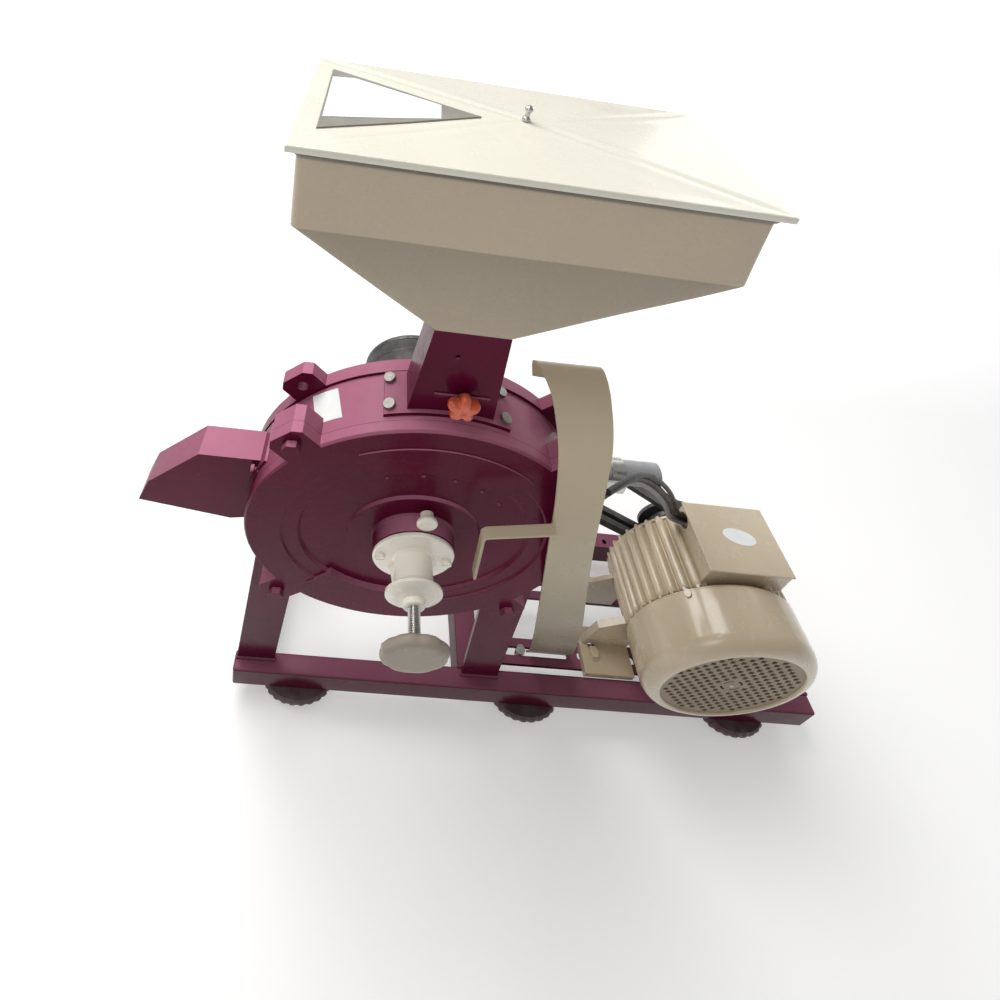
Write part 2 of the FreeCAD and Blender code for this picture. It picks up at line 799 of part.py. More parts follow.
def slide_bar(y0):
    """Flat bar with long slots that let the motor be drawn out to tighten the belts."""
    bar = block(cross_middle + cross_width, right_cross_x(), y0, y0 + slide_bar_width,
                frame_top - slide_bar_thickness, frame_top)
    mid = y0 + slide_bar_width / 2
    w = slide_slot_width
    slots = []
    for x0, x1 in ((184, 260), (282, 352), (480, 550)):
        slots.append(block(x0, x1, mid - w / 2, mid + w / 2, frame_top - 10, frame_top + 1))
        slots.append(rod_z(x0, mid, w / 2, frame_top - 10, frame_top + 1))
        slots.append(rod_z(x1, mid, w / 2, frame_top - 10, frame_top + 1))
    return bar.cut(joined(slots))


def oval(x, y, z, share):
    """Level ellipse round x, y as a closed wire."""
    ring = Part.Ellipse(V(x, y, z), foot_half_length * share, foot_half_width * share)
    return Part.Wire([ring.toShape()])


def base_feet():
    """Six oval rubber pads under the rails, grooved down their bulging sides."""
    feet = []
    top = frame_top - rail_height
    bottom = top - foot_height
    for y in (rail_front + rail_width / 2, rear_rail_front + rail_width / 2):
        for x in foot_places:
            pad = Part.makeLoft([oval(x, y, top, 0.92), oval(x, y, top - 7, 1.0), oval(x, y, top - 15, 0.9),
                                 oval(x, y, bottom, 0.6)], True, True)
            grooves = []
            for i in range(foot_grooves):
                across = foot_half_length * (-0.72 + 1.44 * i / (foot_grooves - 1))
                grooves.append(block(x + across - 1.2, x + across + 1.2, y - foot_half_width - 1, y - foot_half_width * 0.62,
                                     bottom + 4, top - 4))
                grooves.append(block(x + across - 1.2, x + across + 1.2, y + foot_half_width * 0.62,
                                     y + foot_half_width + 1, bottom + 4, top - 4))
            feet.append(pad.cut(joined(grooves)))
    return group(feet)


def leg(foot, head):
    """Pressed leg: a tapered face with a flange turned back along its outer edge."""
    z0 = frame_top
    z1 = leg_head_height
    back = leg_face + leg_plate
    face = plate_xz([(foot[0], z0), (foot[1], z0), (head[1], z1), (head[0], z1)], leg_face, back)
    outer = 0 if foot[0] < 0 else 1
    t = leg_plate if outer == 0 else -leg_plate
    edge = plate_xz([(foot[outer], z0), (foot[outer] + t, z0), (head[outer] + t, z1 - 30), (head[outer], z1 - 30)],
                    back - 1, back + leg_flange)
    body = joined([face, edge]).cut(rod_y(0, 0, casing_radius + guard_gap, 0, 100))
    x, z = polar(lug_circle, 225 if outer == 0 else 315)
    body = body.cut(rod_y(x, z, lug_bolt_radius + slip, 0, 60))
    return max(body.Solids, key=lambda s: s.Volume)


def rear_stays():
    """Two flat stays from the lower ears of the back plate down to the rear rail."""
    y0 = casing_depth + rear_plate_thickness
    t = stay_plate
    ear_x, ear_z = polar(lug_circle, 315)
    foot = rear_rail_front + rail_width / 2
    outline = [(y0, ear_z + 16), (y0 + t, ear_z + 16), (y0 + t, ear_z - 22), (foot + t, frame_top),
               (foot - t / 2, frame_top), (y0, ear_z - 20)]
    stays = []
    for side in (-1, 1):
        x = side * ear_x
        stay = plate_yz(outline, x - stay_width / 2, x + stay_width / 2)
        stays.append(stay.cut(rod_y(x, ear_z, lug_bolt_radius + slip, 0, 100)))
    return group(stays)


def stay_bolts():
    y0 = casing_depth
    y1 = casing_depth + rear_plate_thickness + stay_plate
    bolts = []
    for angle in (225, 315):
        x, z = polar(lug_circle, angle)
        bolts.append(joined([rod_y(x, z, lug_bolt_radius, y0, y1), hex_y(x, z, 13, y1, y1 + 5.5),
                             hex_y(x, z, 13, y0 - 5.5, y0)]))
    return group(bolts)


# Belt drive
def belt_planes():
    return (belt_middle - belt_pitch / 2, belt_middle + belt_pitch / 2)


def pulley(x, z, radius, bore, hub_radius):
    """Two-groove V pulley with a web and a hub."""
    half = belt_pitch + pulley_side
    y0 = belt_middle - half
    y1 = belt_middle + half
    groove = belt_depth + 3
    rim = [(bore, y0), (radius + 1, y0)]
    for mid in belt_planes():
        w = belt_width / 2 + guard_gap
        rim += [(radius + 1, mid - w), (radius - groove, mid - w + 3.2), (radius - groove, mid + w - 3.2),
                (radius + 1, mid + w)]
    rim += [(radius + 1, y1), (bore, y1)]
    wheel = turned(rim, x, z)
    if radius - groove - 6 > hub_radius:
        dish = [ring_y(x, z, radius - groove - 6, hub_radius, y0 - 1, belt_middle - 4),
                ring_y(x, z, radius - groove - 6, hub_radius, belt_middle + 4, y1 + 1)]
        wheel = wheel.cut(joined(dish))
    return wheel


def mill_pulley():
    return pulley(0, 0, mill_pulley_radius, shaft_radius, 25)


def motor_pulley():
    return pulley(motor_x, motor_z, motor_pulley_radius, motor_shaft_radius, 24)


def belt_loop(y):
    """Pitch line of one belt as a closed wire, with the outward direction at its start."""
    reach = math.hypot(motor_x, motor_z)
    lean = math.atan2(motor_z, motor_x)
    spread = math.asin((mill_pulley_radius - motor_pulley_radius) / reach)
    up = lean + math.pi / 2 - spread
    down = lean - math.pi / 2 + spread

    def on(radius, x, z, angle):
        return V(x + radius * math.cos(angle), y, z + radius * math.sin(angle))

    big, small = mill_pulley_radius, motor_pulley_radius
    a = on(big, 0, 0, up)
    b = on(small, motor_x, motor_z, up)
    c = on(small, motor_x, motor_z, down)
    d = on(big, 0, 0, down)
    nose = on(small, motor_x, motor_z, lean)
    back = on(big, 0, 0, lean + math.pi)
    path = Part.Wire([Part.LineSegment(a, b).toShape(), Part.Arc(b, nose, c).toShape(),
                      Part.LineSegment(c, d).toShape(), Part.Arc(d, back, a).toShape()])
    return path, a, V(math.cos(up), 0, math.sin(up))


def drive_belts():
    """Two V-belts, each a tapered section led round both pulleys."""
    belts = []
    wide = belt_width / 2
    narrow = wide - 2.4
    for mid in belt_planes():
        path, a, out = belt_loop(mid)
        corners = [a + out * 0.5 + V(0, -wide, 0), a + out * 0.5 + V(0, wide, 0),
                   a + out * (0.5 - belt_depth) + V(0, narrow, 0), a + out * (0.5 - belt_depth) + V(0, -narrow, 0)]
        corners.append(corners[0])
        belts.append(path.makePipeShell([Part.makePolygon(corners)], True, False))
    return group(belts)


# Belt guard strap: stations from its foot on the slide bar, up in front of the
# casing and over to the upper ear of the back plate. Each one is
# (left x, right x, y, z at the left, z at the right).
guard_stations = (
    (208.0, 260.0, 50.0, -343.0, -343.0),
    (207.0, 258.0, 45.0, -325.0, -325.0),
    (185.0, 235.0, 27.0, -245.0, -245.0),
    (143.0, 191.0, 4.0, -88.0, -87.0),
    (109.0, 152.0, -16.0, 34.0, 37.0),
    (88.0, 131.0, -21.0, 115.0, 119.0),
    (74.0, 121.0, -14.0, 167.0, 174.0),
    (66.0, 118.0, 8.0, 193.0, 198.0),
    (66.0, 119.0, 30.0, 198.0, 201.0),
    (72.0, 122.0, 46.0, 188.0, 188.0),
    (80.0, 126.0, 52.0, 166.0, 162.0),
)


def guard_section(i, grow):
    """One cross line of the strap, moved along the strap's own normal by grow."""
    x0, x1, y, zl, zr = guard_stations[i]
    before = guard_stations[max(i - 1, 0)]
    after = guard_stations[min(i + 1, len(guard_stations) - 1)]
    along = V(0, after[2] - before[2], after[3] - before[3]).normalize()
    normal = V(0, -along.z, along.y)
    return V(x0, y, zl) + normal * grow, V(x1, y, zr) + normal * grow


def belt_guard():
    """Bent sheet strap with a foot tab and a turned-down tab behind its head."""
    sections = []
    for i in range(len(guard_stations)):
        a, b = guard_section(i, 0)
        c, d = guard_section(i, guard_sheet)
        sections.append(Part.makePolygon([a, b, d, c, a]))
    strap = Part.makeLoft(sections, True, False)
    x0, x1, y, z = guard_stations[0][:4]
    bx, by = guard_foot_bolt()
    foot = joined([block(x0, x1, y - 1, y + 14, frame_top, frame_top + guard_sheet),
                   block(bx - 8, x0 + 4, by - 8, by + 8, frame_top, frame_top + guard_sheet)])
    foot = foot.cut(rod_z(bx, by, 2.5 + slip, frame_top - 5, frame_top + 5))
    hx0, hx1, hy, hz, hzr = guard_stations[-1]
    ear_x, ear_z = polar(lug_circle, 45)
    tab = plate_xz([(hx0, hz + 2), (hx1, hzr + 2), (ear_x + 11, ear_z - 10), (ear_x - 6, ear_z - 10),
                    (ear_x - 22, ear_z + 20)], hy, hy + guard_sheet)
    tab = tab.cut(rod_y(0, 0, casing_radius + guard_gap, hy - 1, hy + guard_sheet + 1))
    tab = tab.cut(rod_y(ear_x, ear_z, lug_bolt_radius + slip, 0, 100))
    return joined([strap, foot, tab])


def guard_foot_bolt():
    return guard_stations[0][0] - 7.0, front_slide_front + slide_bar_width / 2


def guard_bolts():
    """Small bolt in the foot and a hexagon bolt through the upper ear."""
    x, y = guard_foot_bolt()
    under = frame_top - slide_bar_thickness
    low = joined([rod_z(x, y, 2.5, under - 7, frame_top + guard_sheet + 1),
                  rod_z(x, y, 5.5, frame_top + guard_sheet, frame_top + guard_sheet + 3.5),
                  hex_z(x, y, 10, under - 4, under)])
    ear_x, ear_z = polar(lug_circle, 45)
    back = casing_depth + rear_plate_thickness
    high = joined([rod_y(ear_x, ear_z, lug_bolt_radius, casing_depth - guard_sheet, back),
                   hex_y(ear_x, ear_z, 13, casing_depth - guard_sheet - 5.5, casing_depth - guard_sheet),
                   hex_y(ear_x, ear_z, 13, back, back + 6)])
    return group([low, high])


# Motor
def motor_frame():
    """Cast barrel with axial cooling fins and two slotted feet on each side."""
    outline = []
    step = math.degrees(fin_pitch / fin_radius)
    count = int(round(360.0 / step))
    for i in range(count):
        middle = 360.0 * i / count
        base = math.degrees(fin_thickness / 2 / motor_body_radius)
        tip = math.degrees(fin_thickness / 2.6 / fin_radius)
        finned = not (66 < middle < 114) and not (232 < middle < 308)
        reach = fin_radius if finned else motor_body_radius
        outline += [polar(motor_body_radius, middle - base), polar(reach, middle - tip),
                    polar(reach, middle + tip), polar(motor_body_radius, middle + base)]
    barrel = plate_xz([(motor_x + x, motor_z + z) for x, z in outline], body_front, body_back)
    solids = [barrel]
    top = frame_top + pad_thickness
    for side in (-1, 1):
        outer = motor_x + side * foot_outer
        inner = motor_x + side * (motor_body_radius - 14)
        xs = sorted((outer, inner))
        for y0, y1 in (front_pad, rear_pad):
            solids.append(block(xs[0], xs[1], y0, y1, frame_top, top))
        hip = (motor_x + side * 80, motor_z - 2)
        thigh = (motor_x + side * 62, motor_z - 52)
        web = [(outer - side * 4, top - 1), (outer - side * 12, top + 44), (motor_x + side * 94, top + 62), hip,
               thigh, (inner, top - 1)]
        for y0, y1 in ((body_front + 4, body_front + 12), (rear_pad[0], rear_pad[0] + 5)):
            solids.append(plate_xz(web, y0, y1))
    body = joined(solids)
    bore = rod_y(motor_x, motor_z, body_bore, body_front - 1, body_back + 1)
    gap = guard_gap
    room = block(box_left - gap, box_right + gap, box_front - gap, box_back + gap, motor_z + box_skirt - gap, box_top)
    cuts = [bore, room.cut(rod_y(motor_x, motor_z, motor_body_radius, 0, body_back + 10))]
    for x, y0, y1 in motor_foot_slots():
        cuts.append(foot_slot(x, y0, y1, 4.2))
    return body.cut(joined(cuts))


def motor_foot_slots():
    slots = []
    for side in (-1, 1):
        x = motor_x + side * (foot_outer - 16)
        slots.append((x, front_pad[0] + 17, front_pad[0] + 34))
        slots.append((x, rear_pad[0] + 12, rear_pad[0] + 15))
    return slots


def foot_slot(x, y0, y1, half):
    z0 = frame_top - 1
    z1 = frame_top + pad_thickness + 1
    return joined([block(x - half, x + half, y0, y1, z0, z1), rod_z(x, y0, half, z0, z1), rod_z(x, y1, half, z0, z1)])


def motor_foot_bolts():
    bolts = []
    for x, y0, y1 in motor_foot_slots():
        y = y0 + 3.5 if y1 - y0 > 5 else (y0 + y1) / 2
        top = frame_top + pad_thickness
        under = frame_top - slide_bar_thickness
        shank = rod_z(x, y, 3.5, under - 8, top + 1.5)
        bolts.append(joined([shank, rod_z(x, y, 8, top, top + 1.5), hex_z(x, y, 11, top + 1.5, top + 6.5),
                             hex_z(x, y, 11, under - 5.5, under)]))
    return group(bolts)


def hex_z(x, y, across, z0, z1):
    corner = across / math.sqrt(3)
    points = [V(x + corner * math.cos(math.radians(60 * i)), y + corner * math.sin(math.radians(60 * i)), z0)
              for i in range(6)]
    points.append(points[0])
    return Part.Face(Part.makePolygon(points)).extrude(V(0, 0, z1 - z0))


def front_end_shield():
    r = cover_radius - cover_sheet - 0.4
    y = body_front
    return turned([(motor_bearing_radius + turn_fit, y - 20), (motor_bearing_radius + 8, y - 20),
                   (motor_bearing_radius + 12, y - 6), (r, y - 6), (r, y), (body_bore - 0.3, y),
                   (body_bore - 0.3, y + 5), (body_bore - 6, y + 5), (body_bore - 6, y),
                   (motor_bearing_radius + turn_fit, y)], motor_x, motor_z)


def rear_end_shield():
    r = motor_body_radius + 4
    y = body_back
    pocket = motor_bearing_width + 1
    inner = y + 5 - pocket
    return turned([(motor_bearing_radius + turn_fit, inner), (motor_bearing_radius + 5, inner),
                   (motor_bearing_radius + 9, y - 1), (body_bore - 6, y - 1), (body_bore - 6, y - 5),
                   (body_bore - 0.3, y - 5), (body_bore - 0.3, y), (r, y), (r, y + 3),
                   (r - 24, y + 5), (motor_bearing_radius + 8, y + 7), (motor_shaft_radius + 1, y + 7),
                   (motor_shaft_radius + 1, y + 5), (motor_bearing_radius + turn_fit, y + 5)], motor_x, motor_z)


def motor_bearings():
    bore = motor_shaft_radius + turn_fit
    places = (body_front - 18, body_back + 5 - motor_bearing_width - 0.5)
    return group([bearing(motor_x, motor_z, motor_bearing_radius, bore, y, motor_bearing_width) for y in places])


def stator():
    return ring_y(motor_x, motor_z, body_bore - 0.2, 46, body_front + 12, body_back - 16)


def rotor():
    return ring_y(motor_x, motor_z, 45.5, motor_shaft_radius, body_front + 12, body_back - 16)


def motor_shaft():
    end = belt_middle + belt_pitch + pulley_side + 2
    return rod_y(motor_x, motor_z, motor_shaft_radius, cover_front + 16, end)


def cooling_fan():
    y0 = cover_front + 18
    hub = ring_y(motor_x, motor_z, 20, motor_shaft_radius, y0, y0 + 15)
    disc = ring_y(motor_x, motor_z, fan_radius, 19, y0 + 13, y0 + 15)
    blades = []
    for i in range(fan_blades):
        blade = block(18, fan_radius - 1, y0, y0 + 14, -1.2, 1.2)
        blade.translate(V(motor_x, 0, motor_z))
        blades.append(about_y(blade, 360.0 * i / fan_blades, motor_x, motor_z))
    return joined([hub, disc] + blades)


def cover_hole_places():
    """Centres of the square hole pattern, without the plain ring in the middle."""
    rows = int(hole_field / (hole_pitch / 2))
    places = []
    for row in range(-rows, rows + 1):
        for col in range(-rows, rows + 1):
            if (row + col) % 2:
                continue
            x = col * hole_pitch / 2
            z = row * hole_pitch / 2 * 1.15
            if hole_centre_clear < math.hypot(x, z) < hole_field:
                places.append((x, z))
    return places


def fan_cover():
    """Deep drawn cap over the fan with a flat, perforated face."""
    r = cover_radius
    c = cover_corner
    t = cover_sheet
    y0 = cover_front
    s = math.sqrt(0.5)
    outer = Part.Wire([
        Part.LineSegment(V(0, y0, 0), V(r - c, y0, 0)).toShape(),
        Part.Arc(V(r - c, y0, 0), V(r - c + c * s, y0 + c - c * s, 0), V(r, y0 + c, 0)).toShape(),
        Part.LineSegment(V(r, y0 + c, 0), V(r, cover_back, 0)).toShape(),
        Part.LineSegment(V(r, cover_back, 0), V(r - t, cover_back, 0)).toShape(),
        Part.LineSegment(V(r - t, cover_back, 0), V(r - t, y0 + c, 0)).toShape(),
        Part.Arc(V(r - t, y0 + c, 0), V(r - c + (c - t) * s, y0 + c - (c - t) * s, 0), V(r - c, y0 + t, 0)).toShape(),
        Part.LineSegment(V(r - c, y0 + t, 0), V(0, y0 + t, 0)).toShape(),
        Part.LineSegment(V(0, y0 + t, 0), V(0, y0, 0)).toShape()])
    shell = Part.Face(outer).revolve(V(0, 0, 0), V(0, 1, 0), 360)
    shell.translate(V(motor_x, 0, motor_z))
    holes = []
    for x, z in cover_hole_places():
        holes.append(hex_y(motor_x + x, motor_z + z, 2 * hole_radius * 0.9, y0 - 1, y0 + t + 1))
    for i in range(4):
        arc = ring_y(motor_x, motor_z, hole_centre_clear - 2.5, hole_centre_clear - 5.5, y0 - 1, y0 + t + 1)
        window = plate_xz([(0, 0), polar(30, 90 * i + 12), polar(40, 90 * i + 45), polar(30, 90 * i + 78)],
                          y0 - 2, y0 + t + 2)
        window.translate(V(motor_x, 0, motor_z))
        holes.append(arc.common(window))
    for angle in cover_screw_angles:
        holes.append(cover_screw_rod(angle, 2.2, fin_radius - 12, cover_radius + 5))
    return shell.cut(Part.makeCompound(holes))


cover_screw_angles = (128.0, 248.0, 8.0)


def cover_screw_rod(angle, radius, r0, r1):
    x, z = polar(1, angle)
    d = V(x, 0, z)
    return Part.makeCylinder(radius, r1 - r0, V(motor_x, cover_back - 3, motor_z) + d * r0, d)


def fan_cover_screws():
    r = cover_radius
    screws = []
    for angle in cover_screw_angles:
        screws.append(joined([cover_screw_rod(angle, 2.0, r - cover_sheet - 0.2, r + 1),
                              cover_screw_rod(angle, 4.2, r + 0.05, r + 2.6)]))
    return group(screws)


def terminal_box():
    """Cast box that sits astride the barrel, open at the top under its lid."""
    saddle_r = motor_body_radius + 0.0
    outer = block(box_left, box_right, box_front, box_back, motor_z + 40, box_top)
    outer = outer.cut(rod_y(motor_x, motor_z, saddle_r, box_front - 1, box_back + 1))
    outer = max(outer.Solids, key=lambda s: s.CenterOfMass.z)
    outer = outer.cut(block(box_left - 1, box_right + 1, box_front - 1, box_back + 1, motor_z, motor_z + box_skirt))
    w = box_wall
    hollow = block(box_left + w, box_right - w, box_front + w, box_back - w,
                   motor_z + motor_body_radius + 3, box_top + 1)
    entry = rod_x(entry_y, entry_z, entry_radius, box_left - 1, box_left + w + 1)
    return outer.cut(joined([hollow, entry]))




def terminal_box_lid():
    return block(box_left - 1.5, box_right + 1.5, box_front - 1.5, box_back + 1.5, box_top, box_top + box_lid_thickness)


def lid_screws():
    z = box_top + box_lid_thickness
    screws = []
    for x, y in ((box_left + 50, box_front + 5), (box_left + 50, box_back - 5)):
        screws.append(joined([rod_z(x, y, 4, z, z + 1.2), rod_z(x, y, 3, z + 1.2, z + 2.2)]))
    return group(screws)


def cable_gland():
    ring = rod_x(entry_y, entry_z, 9.5, box_left - 4, box_left)
    neck = rod_x(entry_y, entry_z, 6.8, box_left, box_left + box_wall + 2)
    return joined([ring, neck]).cut(rod_x(entry_y, entry_z, 6.2, box_left - 5, box_left + 10))


# Run capacitor behind the guard strap
def capacitor():
    x, y, z = capacitor_place
    can = rod_x(y, z, capacitor_radius, x, x + capacitor_length)
    cap = rod_x(y, z, capacitor_radius - 1.5, x - 3, x)
    stub = rod_x(y, z, 3, x + capacitor_length, x + capacitor_length + 5)
    return joined([can, cap, stub])


def clip_plate_reach():
    x, y, z = capacitor_place
    return chord_x(z + 9) - 14


def cable_clips():
    """Band round the capacitor on a plate behind the casing, and the lead clip behind the strap."""
    x, y, z = capacitor_place
    r = capacitor_radius
    back = casing_depth + rear_plate_thickness
    ring = Part.makeCylinder(r + 1.6, 14, V(x + 4, y, z), V(1, 0, 0))
    ring = ring.cut(Part.makeCylinder(r + 0.02, 16, V(x + 3, y, z), V(1, 0, 0)))
    arm = block(clip_plate_reach(), x + 18, back, back + 2, z - 9, z + 9)
    bridge = block(x + 4, x + 18, back + 1, y - r - 0.8, z - 4, z + 4)
    band = joined([ring, arm, bridge])
    cx, cy, cz = lead_clip_place
    saddle_clip = block(cx - 11, cx - 5, cy - 8, cy + 6, cz - 12, cz + 13)
    return group([band, saddle_clip])


def chord_x(z):
    return math.sqrt(rear_plate_radius ** 2 - z ** 2)


# Leads between the capacitor and the terminal box
lead_clip_place = (136.0, -10.0, 102.0)
lead_step = (-3.0, 0.0, -6.0)
lead_line = ((139.0, -8.0, 110.0), (170.0, 8.0, 94.0), (202.0, 32.0, 66.0), (229.0, 47.0, 39.0),
             (271.0, 70.0, -11.0), (315.0, 99.0, -72.0), (346.0, 116.0, -117.0),
             (362.0, entry_y, entry_z + 6.0))
lead_radii = {"lead_black_upper": 2.6, "lead_black_lower": 2.6, "lead_grey": 3.0}


def lead_points(name):
    """Centre line of one lead: the upper one's line moved down and left a step at a time."""
    step = list(lead_radii).index(name)
    points = [(x + step * lead_step[0], y, z + step * lead_step[2]) for x, y, z in lead_line]
    last = points[-1]
    return points + [(box_left + 4, last[1], last[2])]


def lead(name):
    return tube_run(lead_points(name), lead_radii[name])


# The L-shaped flat bar that reaches from the guard strap across the casing face
def guard_bracket():
    t = 2.5
    depth = 9.0
    y = guard_stations[4][2] - guard_sheet - 3.5 - depth
    arm = plate_xz([(51, 55), (103, 69), (103, 69 + t), (51 - t, 55 + t)], y, y + depth)
    leg_piece = plate_xz([(51 - t, 55 + t), (51, 55), (56, 6), (56 - t, 6)], y, y + depth)
    return joined([arm, leg_piece])


parts = {
    "front_rail": front_rail(),
    "rear_rail": rear_rail(),
    "cross_members": group([cross_member(x) for x in (cross_left, cross_middle, right_cross_x())]),
    "slide_bars": group([slide_bar(y) for y in (front_slide_front, rear_slide_front)]),
    "base_feet": base_feet(),
    "left_leg": leg(left_leg_foot, left_leg_head),
    "right_leg": leg(right_leg_foot, right_leg_head),
    "rear_stays": rear_stays(),
    "stay_bolts": stay_bolts(),
    "rear_casing": rear_casing(),
    "casing_drum": casing_drum(),
    "front_cover": front_cover(),
    "cover_bolts": cover_bolts(),
    "fixed_stone": fixed_stone(),
    "running_stone": running_stone(),
    "runner_plate": runner_plate(),
    "main_shaft": main_shaft(),
    "shaft_bearings": shaft_bearings(),
    "bearing_cap": bearing_cap(),
    "spindle_housing": spindle_housing(),
    "hub_screws": hub_screws(),
    "adjusting_spindle": adjusting_spindle(),
    "thrust_pad": thrust_pad(),
    "hand_wheel": hand_wheel(),
    "grease_plug": grease_plug(),
    "feed_neck": feed_neck(),
    "saddle_screws": saddle_screws(),
    "feed_gate": feed_gate(),
    "feed_knob": feed_knob(),
    "hopper_bin": hopper_bin(),
    "hopper_lid": hopper_lid(),
    "lid_window": lid_window(),
    "lid_knob": lid_knob(),
    "outlet_chute": outlet_chute(),
    "chute_bolts": chute_bolts(),
    "belt_guard": belt_guard(),
    "guard_bolts": guard_bolts(),
    "guard_bracket": guard_bracket(),
    "mill_pulley": mill_pulley(),
    "motor_pulley": motor_pulley(),
    "drive_belts": drive_belts(),
    "motor_frame": motor_frame(),
    "front_end_shield": front_end_shield(),
    "rear_end_shield": rear_end_shield(),
    "motor_bearings": motor_bearings(),
    "stator": stator(),
    "rotor": rotor(),
    "motor_shaft": motor_shaft(),
    "cooling_fan": cooling_fan(),
    "fan_cover": fan_cover(),
    "fan_cover_screws": fan_cover_screws(),
    "terminal_box": terminal_box(),
    "terminal_box_lid": terminal_box_lid(),
    "motor_foot_bolts": motor_foot_bolts(),
    "capacitor": capacitor(),
    "cable_clips": cable_clips(),
    "lead_black_upper": lead("lead_black_upper"),
    "lead_black_lower": lead("lead_black_lower"),
    "lead_grey": lead("lead_grey"),
}

# The origin lies on the floor under the middle of the whole machine
whole = Part.makeCompound(list(parts.values())).BoundBox
middle_x = (whole.XMin + whole.XMax) / 2
middle_y = (whole.YMin + whole.YMax) / 2
for name, shape in parts.items():
    placed = shape.copy()
    placed.translate(V(-middle_x, -middle_y, shaft_height))
    placed.exportStep("parts/" + name + ".step")
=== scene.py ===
"""Flour mill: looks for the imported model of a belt-driven stone mill on a steel base."""

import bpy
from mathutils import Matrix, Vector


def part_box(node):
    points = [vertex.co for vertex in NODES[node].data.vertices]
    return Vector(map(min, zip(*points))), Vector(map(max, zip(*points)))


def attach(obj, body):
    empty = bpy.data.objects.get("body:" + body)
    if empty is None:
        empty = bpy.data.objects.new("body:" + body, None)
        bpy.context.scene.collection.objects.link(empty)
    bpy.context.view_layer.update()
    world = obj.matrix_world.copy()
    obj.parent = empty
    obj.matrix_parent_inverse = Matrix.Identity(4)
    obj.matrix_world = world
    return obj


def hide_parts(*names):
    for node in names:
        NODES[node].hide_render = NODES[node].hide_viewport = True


bl_info = {
    "name": "Flour mill",
    "version": (1, 0, 0),
    "blender": (4, 5, 0),
    "location": "View3D > Sidebar > Flour mill",
    "description": "Dresses the flour mill's pieces and sets its stage",
    "category": "Object",
}

import bpy
import bmesh
import math
from mathutils import Matrix, Vector

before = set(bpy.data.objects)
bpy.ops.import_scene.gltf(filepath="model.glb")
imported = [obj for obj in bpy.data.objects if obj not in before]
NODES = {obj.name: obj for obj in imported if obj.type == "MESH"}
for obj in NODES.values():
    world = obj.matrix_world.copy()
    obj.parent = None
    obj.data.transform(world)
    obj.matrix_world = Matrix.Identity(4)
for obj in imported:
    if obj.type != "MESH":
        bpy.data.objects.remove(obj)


# ---- Places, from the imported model's own boxes ----
def low(node):
    return Vector(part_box(node)[0])


def high(node):
    return Vector(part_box(node)[1])


def centre(node):
    return (low(node) + high(node)) / 2


SHAFT = Vector((centre("main_shaft").x, high("front_cover").y - 0.010, centre("main_shaft").z))


def at(x, y, z):
    """A place in millimetres from the mill shaft and the casing's front rim, in metres in the row frame."""
    return SHAFT + Vector((x, y, z)) / 1000


# ---- Materials ----
def new_material(name):
    material = bpy.data.materials.new(name)
    material.use_nodes = True
    tree = material.node_tree
    tree.nodes.clear()
    out = tree.nodes.new("ShaderNodeOutputMaterial")
    shader = tree.nodes.new("ShaderNodeBsdfPrincipled")
    tree.links.new(shader.outputs[0], out.inputs[0])
    return material, tree, shader


def coordinates(tree, scale=(1, 1, 1)):
    coords = tree.nodes.new("ShaderNodeTexCoord")
    mapping = tree.nodes.new("ShaderNodeMapping")
    mapping.inputs["Scale"].default_value = scale
    tree.links.new(coords.outputs["Object"], mapping.inputs["Vector"])
    return mapping.outputs[0]


def noise(tree, vector, scale, detail=4.0, rough=0.55, distort=0.0):
    node = tree.nodes.new("ShaderNodeTexNoise")
    node.inputs["Scale"].default_value = scale
    node.inputs["Detail"].default_value = detail
    node.inputs["Roughness"].default_value = rough
    node.inputs["Distortion"].default_value = distort
    tree.links.new(vector, node.inputs["Vector"])
    return node.outputs["Fac"]


def spread(tree, value, low_in, high_in, low_out=0.0, high_out=1.0):
    node = tree.nodes.new("ShaderNodeMapRange")
    for socket, number in zip(("From Min", "From Max", "To Min", "To Max"), (low_in, high_in, low_out, high_out)):
        node.inputs[socket].default_value = number
    tree.links.new(value, node.inputs["Value"])
    return node.outputs[0]


def blend_colours(tree, factor, first, second):
    node = tree.nodes.new("ShaderNodeMix")
    node.data_type = "RGBA"
    tree.links.new(factor, node.inputs["Factor"])
    for socket, value in ((node.inputs[6], first), (node.inputs[7], second)):
        if isinstance(value, (tuple, list)):
            socket.default_value = (*value[:3], 1)
        else:
            tree.links.new(value, socket)
    return node.outputs[2]


def multiply(tree, first, second):
    node = tree.nodes.new("ShaderNodeMath")
    node.operation = "MULTIPLY"
    tree.links.new(first, node.inputs[0])
    if isinstance(second, (int, float)):
        node.inputs[1].default_value = second
    else:
        tree.links.new(second, node.inputs[1])
    return node.outputs[0]


def facing_up(tree):
    """How far a surface faces up, from 0 to 1, for settled flour dust and for painted top light."""
    geometry = tree.nodes.new("ShaderNodeNewGeometry")
    split = tree.nodes.new("ShaderNodeSeparateXYZ")
    tree.links.new(geometry.outputs["Normal"], split.inputs[0])
    return spread(tree, split.outputs["Z"], 0.25, 1.0)


def bump(tree, shader, height, strength, distance, under=None):
    node = tree.nodes.new("ShaderNodeBump")
    node.inputs["Strength"].default_value = strength
    node.inputs["Distance"].default_value = distance
    tree.links.new(height, node.inputs["Height"])
    if under is not None:
        tree.links.new(under, node.inputs["Normal"])
    tree.links.new(node.outputs[0], shader.inputs["Normal"])
    return node.outputs[0]


